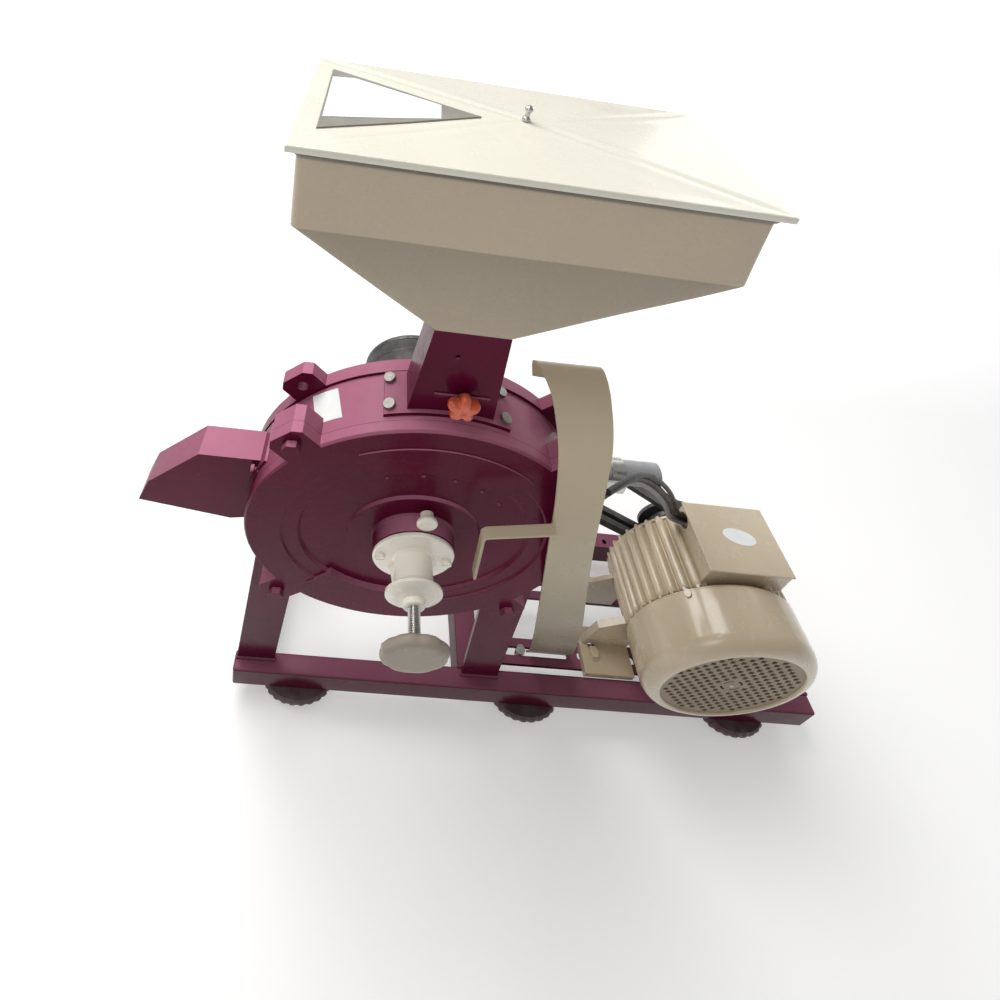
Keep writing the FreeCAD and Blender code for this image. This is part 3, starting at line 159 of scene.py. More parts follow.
def gloss_paint(name, colour, shade, dust, upward_patch_share=0.25, rough=(0.22, 0.42), chips=None, peel=0.25, coat=0.35, painted_top_light=0.0,
                gleam=0.5, fold=None, painted_lid_shadow=None, painted_low_shade=None):
    """Brushed or sprayed machine paint: uneven tone, orange peel, scuffs, settled dust and small chips, with optional
    painted light: painted top light on upward faces, painted shade below a fold, a painted shadow band under a lid and
    painted shade towards the bottom.
    """
    material, tree, shader = new_material(name)
    place = coordinates(tree)
    tone = spread(tree, noise(tree, place, 7, 3, 0.5), 0.3, 0.7)
    base = blend_colours(tree, tone, colour, shade)
    streak = spread(tree, noise(tree, coordinates(tree, (1, 1, 0.18)), 30, 2), 0.45, 0.95, 0, 0.2)
    base = blend_colours(tree, streak, base, tuple(c * 0.8 for c in shade))
    # Noise patches of the dust colour on upward faces: settled dust, and on the maroon paints also painted top light.
    upward_patches = multiply(tree, facing_up(tree), spread(tree, noise(tree, place, 24, 6, 0.7), 0.42, 0.72, 0, upward_patch_share))
    base = blend_colours(tree, upward_patches, base, dust)
    # Painted top light: upward faces are lightened evenly towards the dust colour, which on the maroon paints is the
    # lit pink.
    if painted_top_light:
        base = blend_colours(tree, multiply(tree, facing_up(tree), painted_top_light), base, dust)
    if painted_lid_shadow:
        height = tree.nodes.new("ShaderNodeSeparateXYZ")
        tree.links.new(place, height.inputs[0])
        # Painted shade: the slope just below the fold is darkened.
        under = multiply(tree, spread(tree, height.outputs["Z"], fold + 0.0006, fold - 0.0006),
                         spread(tree, height.outputs["Z"], fold - 0.075, fold, 0.30, 0.62))
        base = blend_colours(tree, under, base, tuple(c * 0.42 for c in shade))
        # Painted shadow: a dark band under the lid's edge, between the two given heights.
        above = spread(tree, height.outputs["Z"], painted_lid_shadow[0], painted_lid_shadow[0] + 0.0025)
        below = spread(tree, height.outputs["Z"], painted_lid_shadow[1], painted_lid_shadow[1] - 0.0015)
        base = blend_colours(tree, multiply(tree, multiply(tree, above, below), 0.85), base, (0.04, 0.035, 0.03))
    # Painted shade: the colour darkens towards the lower height, deepest at the bottom.
    if painted_low_shade:
        height = tree.nodes.new("ShaderNodeSeparateXYZ")
        tree.links.new(place, height.inputs[0])
        base = blend_colours(tree, spread(tree, height.outputs["Z"], painted_low_shade[1], painted_low_shade[0], 0, painted_low_shade[2]), base,
                             tuple(c * 0.25 for c in shade))
    if chips:
        spots = spread(tree, noise(tree, place, 75, 8, 0.72), 0.70, 0.73)
        base = blend_colours(tree, spots, base, chips)
    tree.links.new(base, shader.inputs["Base Color"])
    scuff = spread(tree, noise(tree, place, 40, 6, 0.65), 0.35, 0.7, rough[0], rough[1])
    tree.links.new(scuff, shader.inputs["Roughness"])
    fine = noise(tree, place, 620, 2)
    coarse = noise(tree, place, 60, 3)
    broad = bump(tree, shader, coarse, peel * 0.35, 0.0005)
    bump(tree, shader, fine, peel * 0.8, 0.00015, broad)
    shader.inputs["Specular IOR Level"].default_value = gleam
    shader.inputs["IOR"].default_value = 1.18 if gleam < 0.3 else 1.45
    shader.inputs["Coat Weight"].default_value = coat
    shader.inputs["Coat Roughness"].default_value = 0.12
    return material


def bare_metal(name, colour, shade, rough=(0.22, 0.42), grain=(1, 1, 1), stain=(0.2, 0.13, 0.08), stained=0.25, cast=0.1):
    """Bare or plated metal with fine grain, rubbed tone and a little staining."""
    material, tree, shader = new_material(name)
    place = coordinates(tree)
    tone = spread(tree, noise(tree, coordinates(tree, grain), 160, 4), 0.3, 0.7)
    base = blend_colours(tree, tone, colour, shade)
    rust = spread(tree, noise(tree, place, 48, 7, 0.7), 0.56, 0.72, 0, stained)
    base = blend_colours(tree, rust, base, stain)
    tree.links.new(base, shader.inputs["Base Color"])
    tree.links.new(spread(tree, noise(tree, coordinates(tree, grain), 300, 4), 0.3, 0.7, rough[0], rough[1]),
                   shader.inputs["Roughness"])
    bump(tree, shader, noise(tree, coordinates(tree, grain), 420, 3), cast, 0.0003)
    shader.inputs["Metallic"].default_value = 0.92
    return material


def moulded(name, colour, shade, rough=(0.3, 0.5), grain=300, strength=0.15, dust=(0.6, 0.57, 0.5), upward_patch_share=0.12, coat=0.0):
    """Rubber or plastic with a fine moulded grain, rubbed patches and dust on top."""
    material, tree, shader = new_material(name)
    place = coordinates(tree)
    tone = spread(tree, noise(tree, place, 30, 5, 0.6), 0.35, 0.65)
    base = blend_colours(tree, tone, colour, shade)
    upward_patches = multiply(tree, facing_up(tree), spread(tree, noise(tree, place, 45, 6, 0.7), 0.4, 0.7, 0, upward_patch_share))
    base = blend_colours(tree, upward_patches, base, dust)
    tree.links.new(base, shader.inputs["Base Color"])
    tree.links.new(spread(tree, noise(tree, place, 70, 5), 0.35, 0.65, rough[0], rough[1]), shader.inputs["Roughness"])
    bump(tree, shader, noise(tree, place, grain, 3), strength, 0.0003)
    shader.inputs["Coat Weight"].default_value = coat
    return material


def dressed_stone(name):
    """Pale composite millstone: grit of mixed tones and pores."""
    material, tree, shader = new_material(name)
    place = coordinates(tree)
    grit = tree.nodes.new("ShaderNodeTexVoronoi")
    grit.inputs["Scale"].default_value = 420
    tree.links.new(place, grit.inputs["Vector"])
    tone = spread(tree, noise(tree, place, 90, 6, 0.7), 0.3, 0.7)
    base = blend_colours(tree, tone, (0.42, 0.38, 0.31), (0.60, 0.56, 0.48))
    base = blend_colours(tree, spread(tree, grit.outputs["Distance"], 0.1, 0.5, 0, 0.5), base, (0.25, 0.22, 0.19))
    tree.links.new(base, shader.inputs["Base Color"])
    shader.inputs["Roughness"].default_value = 0.85
    bump(tree, shader, grit.outputs["Distance"], 0.5, 0.0008)
    return material


def paper(name, colour=(0.82, 0.82, 0.80), tint=(0.70, 0.74, 0.78)):
    """A blank printed label: coated paper with a faint tint and handled edges."""
    material, tree, shader = new_material(name)
    place = coordinates(tree)
    tone = spread(tree, noise(tree, place, 60, 4), 0.35, 0.7)
    base = blend_colours(tree, tone, colour, tint)
    spots = spread(tree, noise(tree, place, 260, 7, 0.7), 0.64, 0.72, 0, 0.5)
    base = blend_colours(tree, spots, base, (0.45, 0.42, 0.38))
    tree.links.new(base, shader.inputs["Base Color"])
    tree.links.new(spread(tree, noise(tree, place, 90, 4), 0.3, 0.7, 0.35, 0.55), shader.inputs["Roughness"])
    bump(tree, shader, noise(tree, place, 120, 4), 0.12, 0.0003)
    return material


PALETTE = {}


def build_materials():
    look = bpy.context.scene.mill_look
    maroon = tuple(look.maroon)
    cream = tuple(look.cream)
    # The pink dust colour is partly flour dust and partly painted top light: it is the colour of top-lit maroon.
    flour = (0.60, 0.24, 0.36)
    deep = tuple(c * 0.74 for c in maroon)
    # Both maroon paints carry painted top light on upward faces; the base paint also darkens towards the floor as
    # painted shade.
    PALETTE["maroon"] = gloss_paint("maroon gloss paint", maroon, deep, flour, 0.16, (0.16, 0.30),
                                    chips=(0.20, 0.08, 0.12), peel=0.3, coat=0.05, painted_top_light=0.55, gleam=0.25,
                                    painted_low_shade=(at(0, 0, -345).z, at(0, 0, -60).z, 0.45))
    PALETTE["casting"] = gloss_paint("maroon paint on cast iron", maroon, deep, flour, 0.16, (0.20, 0.34),
                                     chips=(0.22, 0.10, 0.14), peel=0.6, coat=0.03, painted_top_light=0.7, gleam=0.25)
    # Lit and shaded copies of the one cream: the lid's cream is lightened as painted top light, the hopper's is
    # darkened as painted shade.
    light = tuple(min(1, c * f) for c, f in zip(cream, (1.12, 1.18, 1.30)))
    PALETTE["cream"] = gloss_paint("cream sheet paint in painted top light", light, tuple(c * 0.97 for c in light), (0.84, 0.82, 0.76),
                                   0.03, (0.24, 0.38), peel=0.1, coat=0.3)
    shaded = tuple(c * f for c, f in zip(cream, (0.80, 0.72, 0.66)))
    # The hopper's paint carries painted shade on the slope below the fold and a painted shadow band under the lid.
    rim = (at(0, 0, 364.6).z, at(0, 0, 372.0).z)
    PALETTE["bin"] = gloss_paint("cream paint of the hopper in painted shade", shaded, tuple(c * 0.93 for c in shaded), (0.74, 0.70, 0.62),
                                 0.08, (0.2, 0.34), peel=0.1, coat=0.4, fold=at(0, 0, 316).z, painted_lid_shadow=rim)
    PALETTE["white"] = gloss_paint("white enamel on castings", (0.92, 0.88, 0.80), (0.88, 0.84, 0.75),
                                   (0.80, 0.76, 0.68), 0.1, (0.18, 0.32), peel=0.3)
    # The hand wheel's white enamel is painted dark grey: painted shade on its front face.
    PALETTE["wheel"] = gloss_paint("white enamel in painted shade on the hand wheel", (0.33, 0.29, 0.24), (0.30, 0.26, 0.21),
                                   (0.80, 0.76, 0.68), 0.05, (0.22, 0.34), peel=0.2, coat=0.1, gleam=0.28)
    # The strip's paint darkens towards the floor as painted shade.
    PALETTE["guard"] = gloss_paint("cream strip paint", (0.58, 0.50, 0.36), (0.52, 0.44, 0.31), (0.70, 0.63, 0.50),
                                   0.1, (0.26, 0.4), peel=0.12, coat=0.1, gleam=0.28,
                                   painted_low_shade=(at(0, 0, -345).z, at(0, 0, 190).z, 0.85))
    PALETTE["motor"] = gloss_paint("cream motor enamel", (0.54, 0.45, 0.32), (0.49, 0.40, 0.28), (0.70, 0.64, 0.52),
                                   0.1, (0.20, 0.32), peel=0.22, coat=0.5)
    # The grille is a darkened copy of the motor enamel: painted shade on its front face.
    PALETTE["grille"] = gloss_paint("motor enamel in painted shade on the grille", (0.30, 0.24, 0.17), (0.26, 0.20, 0.14),
                                    (0.5, 0.44, 0.34), 0.1, (0.3, 0.42), peel=0.3, coat=0.05, gleam=0.28)
    PALETTE["steel"] = bare_metal("turned steel", (0.62, 0.61, 0.59), (0.46, 0.45, 0.43), (0.16, 0.3), (1, 6, 1))
    PALETTE["zinc"] = bare_metal("plated fasteners", (0.66, 0.64, 0.60), (0.50, 0.49, 0.46), (0.22, 0.38))
    PALETTE["screw"] = bare_metal("worn screws", (0.34, 0.32, 0.31), (0.22, 0.20, 0.20), (0.34, 0.5), stained=0.5)
    PALETTE["iron"] = bare_metal("grey cast iron", (0.16, 0.16, 0.165), (0.09, 0.09, 0.095), (0.4, 0.6), cast=0.5)
    PALETTE["copper"] = bare_metal("wound core", (0.32, 0.24, 0.18), (0.2, 0.16, 0.13), (0.4, 0.6), (1, 14, 1))
    PALETTE["stone"] = dressed_stone("millstone")
    PALETTE["rubber"] = moulded("black rubber", (0.022, 0.020, 0.022), (0.04, 0.036, 0.038), (0.5, 0.7), 260, 0.3)
    PALETTE["foot"] = moulded("foot rubber", (0.075, 0.030, 0.038), (0.045, 0.02, 0.026), (0.42, 0.62), 260, 0.35)
    PALETTE["orange"] = moulded("orange moulding", (0.62, 0.085, 0.022), (0.50, 0.06, 0.018), (0.22, 0.36), 200, 0.08,
                                coat=0.3)
    PALETTE["grey"] = moulded("grey sheet", (0.26, 0.245, 0.215), (0.20, 0.19, 0.17), (0.35, 0.5), 300, 0.1)
    PALETTE["sheath"] = moulded("black cable sheath", (0.008, 0.008, 0.009), (0.014, 0.013, 0.015), (0.4, 0.55), 300, 0.1,
                                upward_patch_share=0.03)
    PALETTE["grey sheath"] = moulded("grey cable sheath", (0.22, 0.225, 0.24), (0.17, 0.175, 0.19), (0.35, 0.5), 300, 0.1)
    PALETTE["can"] = moulded("capacitor can", (0.40, 0.40, 0.41), (0.30, 0.30, 0.32), (0.3, 0.42), 300, 0.06)
    PALETTE["paper"] = paper("blank label")


FINISH = {
    "maroon": ("front_rail", "rear_rail", "cross_members", "slide_bars", "left_leg", "right_leg", "rear_stays",
               "feed_neck", "outlet_chute", "bearing_cap", "cover_bolts", "stay_bolts", "chute_bolts",
               "feed_gate"),
    "casting": ("rear_casing", "casing_drum", "front_cover"),
    "cream": ("hopper_bin", "hopper_lid"),
    "white": ("spindle_housing", "hand_wheel", "hub_screws", "grease_plug"),
    "guard": ("belt_guard", "guard_bracket"),
    "motor": ("motor_frame", "front_end_shield", "rear_end_shield", "fan_cover", "terminal_box", "terminal_box_lid",
              "motor_foot_bolts", "fan_cover_screws"),
    "stone": ("fixed_stone", "running_stone"),
    "steel": ("main_shaft", "motor_shaft", "shaft_bearings", "motor_bearings", "adjusting_spindle", "thrust_pad",
              "lid_knob"),
    "zinc": ("guard_bolts", "cable_clips"),
    "screw": ("saddle_screws",),
    "iron": ("runner_plate", "mill_pulley", "motor_pulley"),
    "copper": ("stator", "rotor"),
    "rubber": ("drive_belts", "cooling_fan"),
    "foot": ("base_feet",),
    "orange": ("feed_knob",),
    "grey": ("lid_window",),
    "sheath": ("lead_black_upper", "lead_black_lower"),
    "grey sheath": ("lead_grey",),
    "can": ("capacitor",),
}


# ---- Ways of working ----
def give(obj, key):
    obj.data.materials.clear()
    obj.data.materials.append(PALETTE[key])


def crease_tree(name, angle):
    """Merges the loose triangles, then shades smooth across every edge that turns less than the angle."""
    tree = bpy.data.node_groups.new(name, "GeometryNodeTree")
    tree.interface.new_socket("Geometry", in_out="INPUT", socket_type="NodeSocketGeometry")
    tree.interface.new_socket("Geometry", in_out="OUTPUT", socket_type="NodeSocketGeometry")
    start = tree.nodes.new("NodeGroupInput")
    end = tree.nodes.new("NodeGroupOutput")
    merge = tree.nodes.new("GeometryNodeMergeByDistance")
    merge.inputs["Distance"].default_value = 0.00001
    faces = tree.nodes.new("GeometryNodeSetShadeSmooth")
    edges = tree.nodes.new("GeometryNodeSetShadeSmooth")
    edges.domain = "EDGE"
    turn = tree.nodes.new("GeometryNodeInputMeshEdgeAngle")
    compare = tree.nodes.new("FunctionNodeCompare")
    compare.operation = "LESS_THAN"
    compare.inputs[1].default_value = angle
    tree.links.new(start.outputs[0], merge.inputs[0])
    tree.links.new(merge.outputs[0], faces.inputs[0])
    tree.links.new(faces.outputs[0], edges.inputs[0])
    tree.links.new(turn.outputs["Unsigned Angle"], compare.inputs[0])
    tree.links.new(compare.outputs[0], edges.inputs["Shade Smooth"])
    tree.links.new(edges.outputs[0], end.inputs[0])
    return tree


def soften(obj, width, segments=2, angle=40):
    """Gives a CAD node's edges a small worn radius, with modifiers only."""
    merge = obj.modifiers.new("merge", "NODES")
    merge.node_group = bpy.data.node_groups.get("merge triangles") or crease_tree("merge triangles", math.radians(angle))
    if width:
        flat = obj.modifiers.new("flat faces", "DECIMATE")
        flat.decimate_type = "DISSOLVE"
        flat.angle_limit = math.radians(0.6)
        edge = obj.modifiers.new("worn edges", "BEVEL")
        edge.width = width / 1000
        edge.segments = segments
        edge.limit_method = "ANGLE"
        edge.angle_limit = math.radians(angle)
        edge.miter_outer = "MITER_ARC"
        shade = obj.modifiers.new("shading", "NODES")
        shade.node_group = bpy.data.node_groups.get("shade edges") or crease_tree("shade edges", math.radians(50))
        weigh = obj.modifiers.new("flat shading", "WEIGHTED_NORMAL")
        weigh.keep_sharp = True


SOFTENED = {
    "casing_drum": 1.2, "rear_casing": 1.5, "front_cover": 0.8, "feed_neck": 0.6, "outlet_chute": 0.5,
    "front_rail": 2.5, "rear_rail": 2.5, "cross_members": 2.0, "slide_bars": 0.8, "left_leg": 1.2, "right_leg": 1.2,
    "rear_stays": 1.0, "bearing_cap": 0.8, "motor_frame": 0.8, "front_end_shield": 0.8, "rear_end_shield": 0.8,
    "terminal_box": 1.5, "terminal_box_lid": 1.0, "mill_pulley": 0.8, "motor_pulley": 0.8, "feed_gate": 0.3,
    "guard_bracket": 0.4, "spindle_housing": 0.8, "cover_bolts": 0.5, "guard_bolts": 0.5, "stay_bolts": 0.5,
    "motor_foot_bolts": 0.5, "chute_bolts": 0.4, "saddle_screws": 0.3, "hub_screws": 0.4, "base_feet": 0.8,
    "cable_clips": 0.3, "running_stone": 0.6, "fixed_stone": 0.6, "cooling_fan": 0.4, "capacitor": 1.0,
    "grease_plug": 0.5, "belt_guard": 0.3, "hopper_bin": 1.0, "hopper_lid": 0.8, "hand_wheel": 1.0,
    "feed_knob": 1.0, "fan_cover_screws": 0.4, "lid_knob": 0.5,
}


def make(name, mesh, key, body="machine", replaces=(), slot=None, smooth=True):
    """Adds a finished mesh as a piece that rides on a body."""
    piece = bpy.data.objects.new(name, mesh)
    bpy.context.scene.collection.objects.link(piece)
    mesh.materials.clear()
    mesh.materials.append(PALETTE[key])
    if smooth:
        mesh.polygons.foreach_set("use_smooth", [True] * len(mesh.polygons))
    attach(piece, body)
    if replaces:
        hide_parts(*replaces)
    return piece


def from_points(name, points, faces):
    mesh = bpy.data.meshes.new(name)
    mesh.from_pydata([at(*p) for p in points], [], faces)
    return mesh


def tidied(mesh, sharp=35):
    """Merges doubled points, turns faces outward and keeps edges sharper than the angle."""
    work = bmesh.new()
    work.from_mesh(mesh)
    bmesh.ops.remove_doubles(work, verts=work.verts, dist=0.000005)
    bmesh.ops.recalc_face_normals(work, faces=work.faces)
    for edge in work.edges:
        edge.smooth = len(edge.link_faces) == 2 and edge.calc_face_angle(0) < math.radians(sharp)
    work.to_mesh(mesh)
    work.free()
    return mesh


def rounded_loop(x0, x1, y0, y1, z, radius, corner=5, side=14):
    """Points round a level rectangle in mm: rounded corners, divided sides, anticlockwise from above."""
    points = []
    corners = ((x1 - radius, y0 + radius, -90), (x1 - radius, y1 - radius, 0),
               (x0 + radius, y1 - radius, 90), (x0 + radius, y0 + radius, 180))
    for i, (cx, cy, start) in enumerate(corners):
        for k in range(corner + 1):
            turn = math.radians(start + 90 * k / corner)
            points.append((cx + radius * math.cos(turn), cy + radius * math.sin(turn), z))
        nx, ny, nstart = corners[(i + 1) % 4]
        ahead = math.radians(nstart)
        nxt = (nx + radius * math.cos(ahead), ny + radius * math.sin(ahead), z)
        last = points[-1]
        for k in range(1, side):
            share = k / side
            points.append((last[0] + (nxt[0] - last[0]) * share, last[1] + (nxt[1] - last[1]) * share, z))
    return points


def skin(loops, closed=False):
    """Faces between loops of equal length, one after the other."""
    count = len(loops[0])
    points = [p for loop in loops for p in loop]
    faces = []
    rings = len(loops)
    for r in range(rings if closed else rings - 1):
        s = (r + 1) % rings
        for i in range(count):
            j = (i + 1) % count
            faces.append((r * count + i, r * count + j, s * count + j, s * count + i))
    return points, faces


def ripple(x, y, z, depth, length=90.0):
    """A gentle wave of hand-folded sheet, in mm."""
    return depth * (math.sin(x / length * 2.1 + 0.6) * math.sin(z / length * 2.7 + y / length)
                    + 0.5 * math.sin(x / length * 4.3 + z / length * 3.1))


def lathe(name, profile, x=0.0, z=0.0, segments=96):
    """Turns (radius, y) points round an axis along Y; a point on the axis closes the end."""
    rings = []
    for radius, y in profile:
        ring = []
        for i in range(segments):
            turn = 2 * math.pi * i / segments
            ring.append((x + radius * math.cos(turn), y, z + radius * math.sin(turn)))
        rings.append(ring)
    points, faces = skin(rings)
    return from_points(name, points, faces)


def repeat_tree():
    """Sets a source piece on every point of a mesh, each a little different, as real geometry."""
    tree = bpy.data.node_groups.get("set on points")
    if tree:
        return tree
    tree = bpy.data.node_groups.new("set on points", "GeometryNodeTree")
    for name, kind in (("Points", "NodeSocketGeometry"), ("Source", "NodeSocketObject"), ("Variation", "NodeSocketFloat"),
                       ("Seed", "NodeSocketInt"), ("Material", "NodeSocketMaterial")):
        tree.interface.new_socket(name, in_out="INPUT", socket_type=kind)
    tree.interface.new_socket("Geometry", in_out="OUTPUT", socket_type="NodeSocketGeometry")
    start, end = tree.nodes.new("NodeGroupInput"), tree.nodes.new("NodeGroupOutput")
    source = tree.nodes.new("GeometryNodeObjectInfo")
    placed = tree.nodes.new("GeometryNodeInstanceOnPoints")
    scale = tree.nodes.new("FunctionNodeRandomValue")
    least, most = tree.nodes.new("ShaderNodeMath"), tree.nodes.new("ShaderNodeMath")
    real = tree.nodes.new("GeometryNodeRealizeInstances")
    painted = tree.nodes.new("GeometryNodeSetMaterial")
    least.operation, most.operation = "SUBTRACT", "ADD"
    least.inputs[0].default_value = most.inputs[0].default_value = 1.0
    link = tree.links.new
    link(start.outputs["Variation"], least.inputs[1])
    link(start.outputs["Variation"], most.inputs[1])
    link(least.outputs[0], scale.inputs[2])
    link(most.outputs[0], scale.inputs[3])
    link(start.outputs["Seed"], scale.inputs["Seed"])
    link(start.outputs["Source"], source.inputs["Object"])
    link(start.outputs["Points"], placed.inputs["Points"])
    link(source.outputs["Geometry"], placed.inputs["Instance"])
    link(scale.outputs[1], placed.inputs["Scale"])
    link(placed.outputs[0], real.inputs[0])
    link(real.outputs[0], painted.inputs["Geometry"])
    link(start.outputs["Material"], painted.inputs["Material"])
    link(painted.outputs[0], end.inputs[0])
    return tree


def repeated(name, source_mesh, places, key, variation=0.0, seed=1, **riding):
    """Repeats a mesh on places in mm through Geometry Nodes and keeps the result as one piece."""
    source = bpy.data.objects.new(name + " source", source_mesh)
    points = bpy.data.meshes.new(name + " points")
    points.from_pydata([at(*p) for p in places], [], [])
    holder = bpy.data.objects.new(name + " points", points)
    for obj in (source, holder):
        bpy.context.scene.collection.objects.link(obj)
    tree = repeat_tree()
    modifier = holder.modifiers.new("set on points", "NODES")
    modifier.node_group = tree
    values = {"Source": source, "Variation": variation, "Seed": seed, "Material": PALETTE[key]}
    for item in tree.interface.items_tree:
        if item.item_type == "SOCKET" and item.in_out == "INPUT" and item.name in values:
            modifier[item.identifier] = values[item.name]
    bpy.context.view_layer.update()
    mesh = bpy.data.meshes.new_from_object(holder.evaluated_get(bpy.context.evaluated_depsgraph_get()))
    mesh.name = name
    bpy.data.objects.remove(holder)
    bpy.data.objects.remove(source)
    if not mesh.polygons:
        raise RuntimeError(name + " came out empty")
    return make(name, mesh, key, **riding)


def small(name, points, faces):
    """A mesh round its own centre, from points in mm."""
    mesh = bpy.data.meshes.new(name)
    mesh.from_pydata([Vector(p) / 1000 for p in points], [], faces)
    return mesh


class MillLook(bpy.types.PropertyGroup):
    maroon: bpy.props.FloatVectorProperty(name="Maroon paint", description="Colour of the casing and base",
                                          subtype="COLOR", size=3, min=0, max=1, default=(0.110, 0.005, 0.029))
    cream: bpy.props.FloatVectorProperty(name="Cream paint", description="Colour of the hopper and its lid",
                                         subtype="COLOR", size=3, min=0, max=1, default=(0.62, 0.57, 0.45))


class MILL_OT_stage(bpy.types.Operator):
    """Sets the camera, the floor and the soft lights"""
    bl_idname = "mill.stage"
    bl_label = "Stage"

    def execute(self, context):
        scene = context.scene
        turn, tilt, roll = math.radians(4.55), math.radians(28.85), math.radians(-10.35)
        ahead = Vector((math.sin(turn) * math.cos(tilt), math.cos(turn) * math.cos(tilt), -math.sin(tilt)))
        across = Vector((math.cos(turn), -math.sin(turn), 0))
        down = ahead.cross(across)
        right = across * math.cos(roll) + down * math.sin(roll)
        up = across * math.sin(roll) - down * math.cos(roll)
        data = bpy.data.cameras.new("camera")
        data.sensor_width = 36
        data.lens = 0.5529 * 36
        data.shift_x = 0.1018
        data.shift_y = -0.3407
        data.clip_start = 0.01
        data.clip_end = 200
        camera = bpy.data.objects.new("camera", data)
        scene.collection.objects.link(camera)
        turned = Matrix((right, up, -ahead)).transposed().to_4x4()
        turned.translation = at(-94.8, -265.0, 525.4)
        camera.matrix_world = turned
        scene.camera = camera
        ground = bpy.data.meshes.new("floor")
        ground.from_pydata([(-40, -40, 0), (40, -40, 0), (40, 40, 0), (-40, 40, 0)], [], [(0, 1, 2, 3)])
        floor = bpy.data.objects.new("floor", ground)
        scene.collection.objects.link(floor)
        material, tree, shader = new_material("pale floor")
        tone = spread(tree, noise(tree, coordinates(tree), 3, 3), 0.3, 0.7)
        tree.links.new(blend_colours(tree, tone, (0.80, 0.80, 0.80), (0.78, 0.78, 0.78)), shader.inputs["Base Color"])
        shader.inputs["Roughness"].default_value = 0.8
        shader.inputs["Emission Color"].default_value = (1, 1, 1, 1)
        far = tree.nodes.new("ShaderNodeSeparateXYZ")
        tree.links.new(coordinates(tree), far.inputs[0])
        tree.links.new(spread(tree, far.outputs["Y"], 0.5, 1.8, 0.30, 0.85), shader.inputs["Emission Strength"])
        ground.materials.append(material)
        world = bpy.data.worlds.new("studio")
        world.use_nodes = True
        world.node_tree.nodes["Background"].inputs["Color"].default_value = (1.0, 1.0, 1.0, 1)
        world.node_tree.nodes["Background"].inputs["Strength"].default_value = 0.32
        scene.world = world
        scene.view_settings.view_transform = "Standard"
        lamps = (("window", (-0.9, 0.5, 2.0), 1.3, 36, (1.0, 0.99, 0.97)),
                 ("fill", (-0.9, -1.1, 1.7), 0.8, 6, (1.0, 0.96, 0.9)),
                 ("rim", (1.4, 1.3, 1.2), 1.2, 7, (0.97, 0.98, 1.0)))
        for name, place, size, power, tint in lamps:
            light = bpy.data.lights.new(name, "AREA")
            light.size = size
            light.energy = power
            light.color = tint
            lamp = bpy.data.objects.new(name, light)
            lamp.location = place
            lamp.rotation_euler = (Vector((0, 0, 0.35)) - Vector(place)).to_track_quat("-Z", "Y").to_euler()
            scene.collection.objects.link(lamp)
        return {"FINISHED"}


class MILL_OT_finishes(bpy.types.Operator):
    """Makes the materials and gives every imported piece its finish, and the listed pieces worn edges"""
    bl_idname = "mill.finishes"
    bl_label = "Finishes"

    def execute(self, context):
        build_materials()
        for key, names in FINISH.items():
            for name in names:
                if name in NODES:
                    give(NODES[name], key)
        for name, obj in NODES.items():
            if not obj.data.materials:
                give(obj, "zinc")
            soften(obj, SOFTENED.get(name, 0))
        return {"FINISHED"}


class MILL_OT_hopper(bpy.types.Operator):
    """Folds the hopper's bin from sheet: sloping sides, upright band and rolled rim"""
    bl_idname = "mill.hopper"
    bl_label = "Hopper bin"

    def execute(self, context):
        sheet, r = 1.5, 5.0
        foot = (-27, 31, 13, 60)
        wall = (-131.5, 161, 9.5, 145)

        def section(share, z, inset=0.0, grow=0.0, radius=r):
            box = [a + (b - a) * share for a, b in zip(foot, wall)]
            box[1] += 5.0 * share * min(1, max(0, (366 - z) / 48))
            inset -= grow
            return rounded_loop(box[0] + inset, box[1] - inset, box[2] + inset, box[3] - inset, z,
                                max(radius - inset, 0.6))

        outer = []
        steps = 14
        for i in range(steps + 1):
            share = i / steps
            outer.append(section(share, 241.5 + (316 - 241.5) * share, radius=2.5 + 2.5 * share))
        heights = (318, 330, 340, 352, 362, 366.3)
        outer += [section(1, z) for z in heights]
        lip = [(366.6, 0.4), (367.4, 1.9), (369.0, 2.8), (371.0, 3.0), (373.0, 2.5), (374.2, 1.2), (374.5, 0.0)]
        outer += [section(1, z, grow=g) for z, g in lip]
        outer += [section(1, 374.3, inset=1.0)]
        inner = [section(1, z, inset=sheet) for z in (372, 350, 330, 320.5)]
        for i in range(steps, -1, -2):
            share = i / steps
            inner.append(section(share, 242.3 + (320 - 241.5) * share, inset=sheet, radius=2.5 + 2.5 * share))
        loops = []
        for ring in outer + inner:
            waved = []
            for x, y, z in ring:
                strength = 0.55 * min(1, max(0, (366 - z) / 40)) * min(1, max(0, (z - 246) / 20))
                offset = ripple(x, y, z, strength)
                front = 1 if y < 12 + 3 else (-1 if y > 100 else 0)
                waved.append((x, y + offset * front, z))
            loops.append(waved)
        points, faces = skin(loops)
        faces.append(tuple(range(len(points) - len(loops[0]), len(points)))[::-1])
        floor_start = 0
        faces.append(tuple(range(floor_start, len(loops[0])))[::-1])
        mesh = tidied(from_points("hopper_sheet", points, faces), 25)
        make("hopper_sheet", mesh, "bin", replaces=("hopper_bin",), slot="cream_paint")
        return {"FINISHED"}


LID = (-136.5, 166.0, 3.5, 151.0)
LID_TOP = 375.7
LID_RISE = 4.5


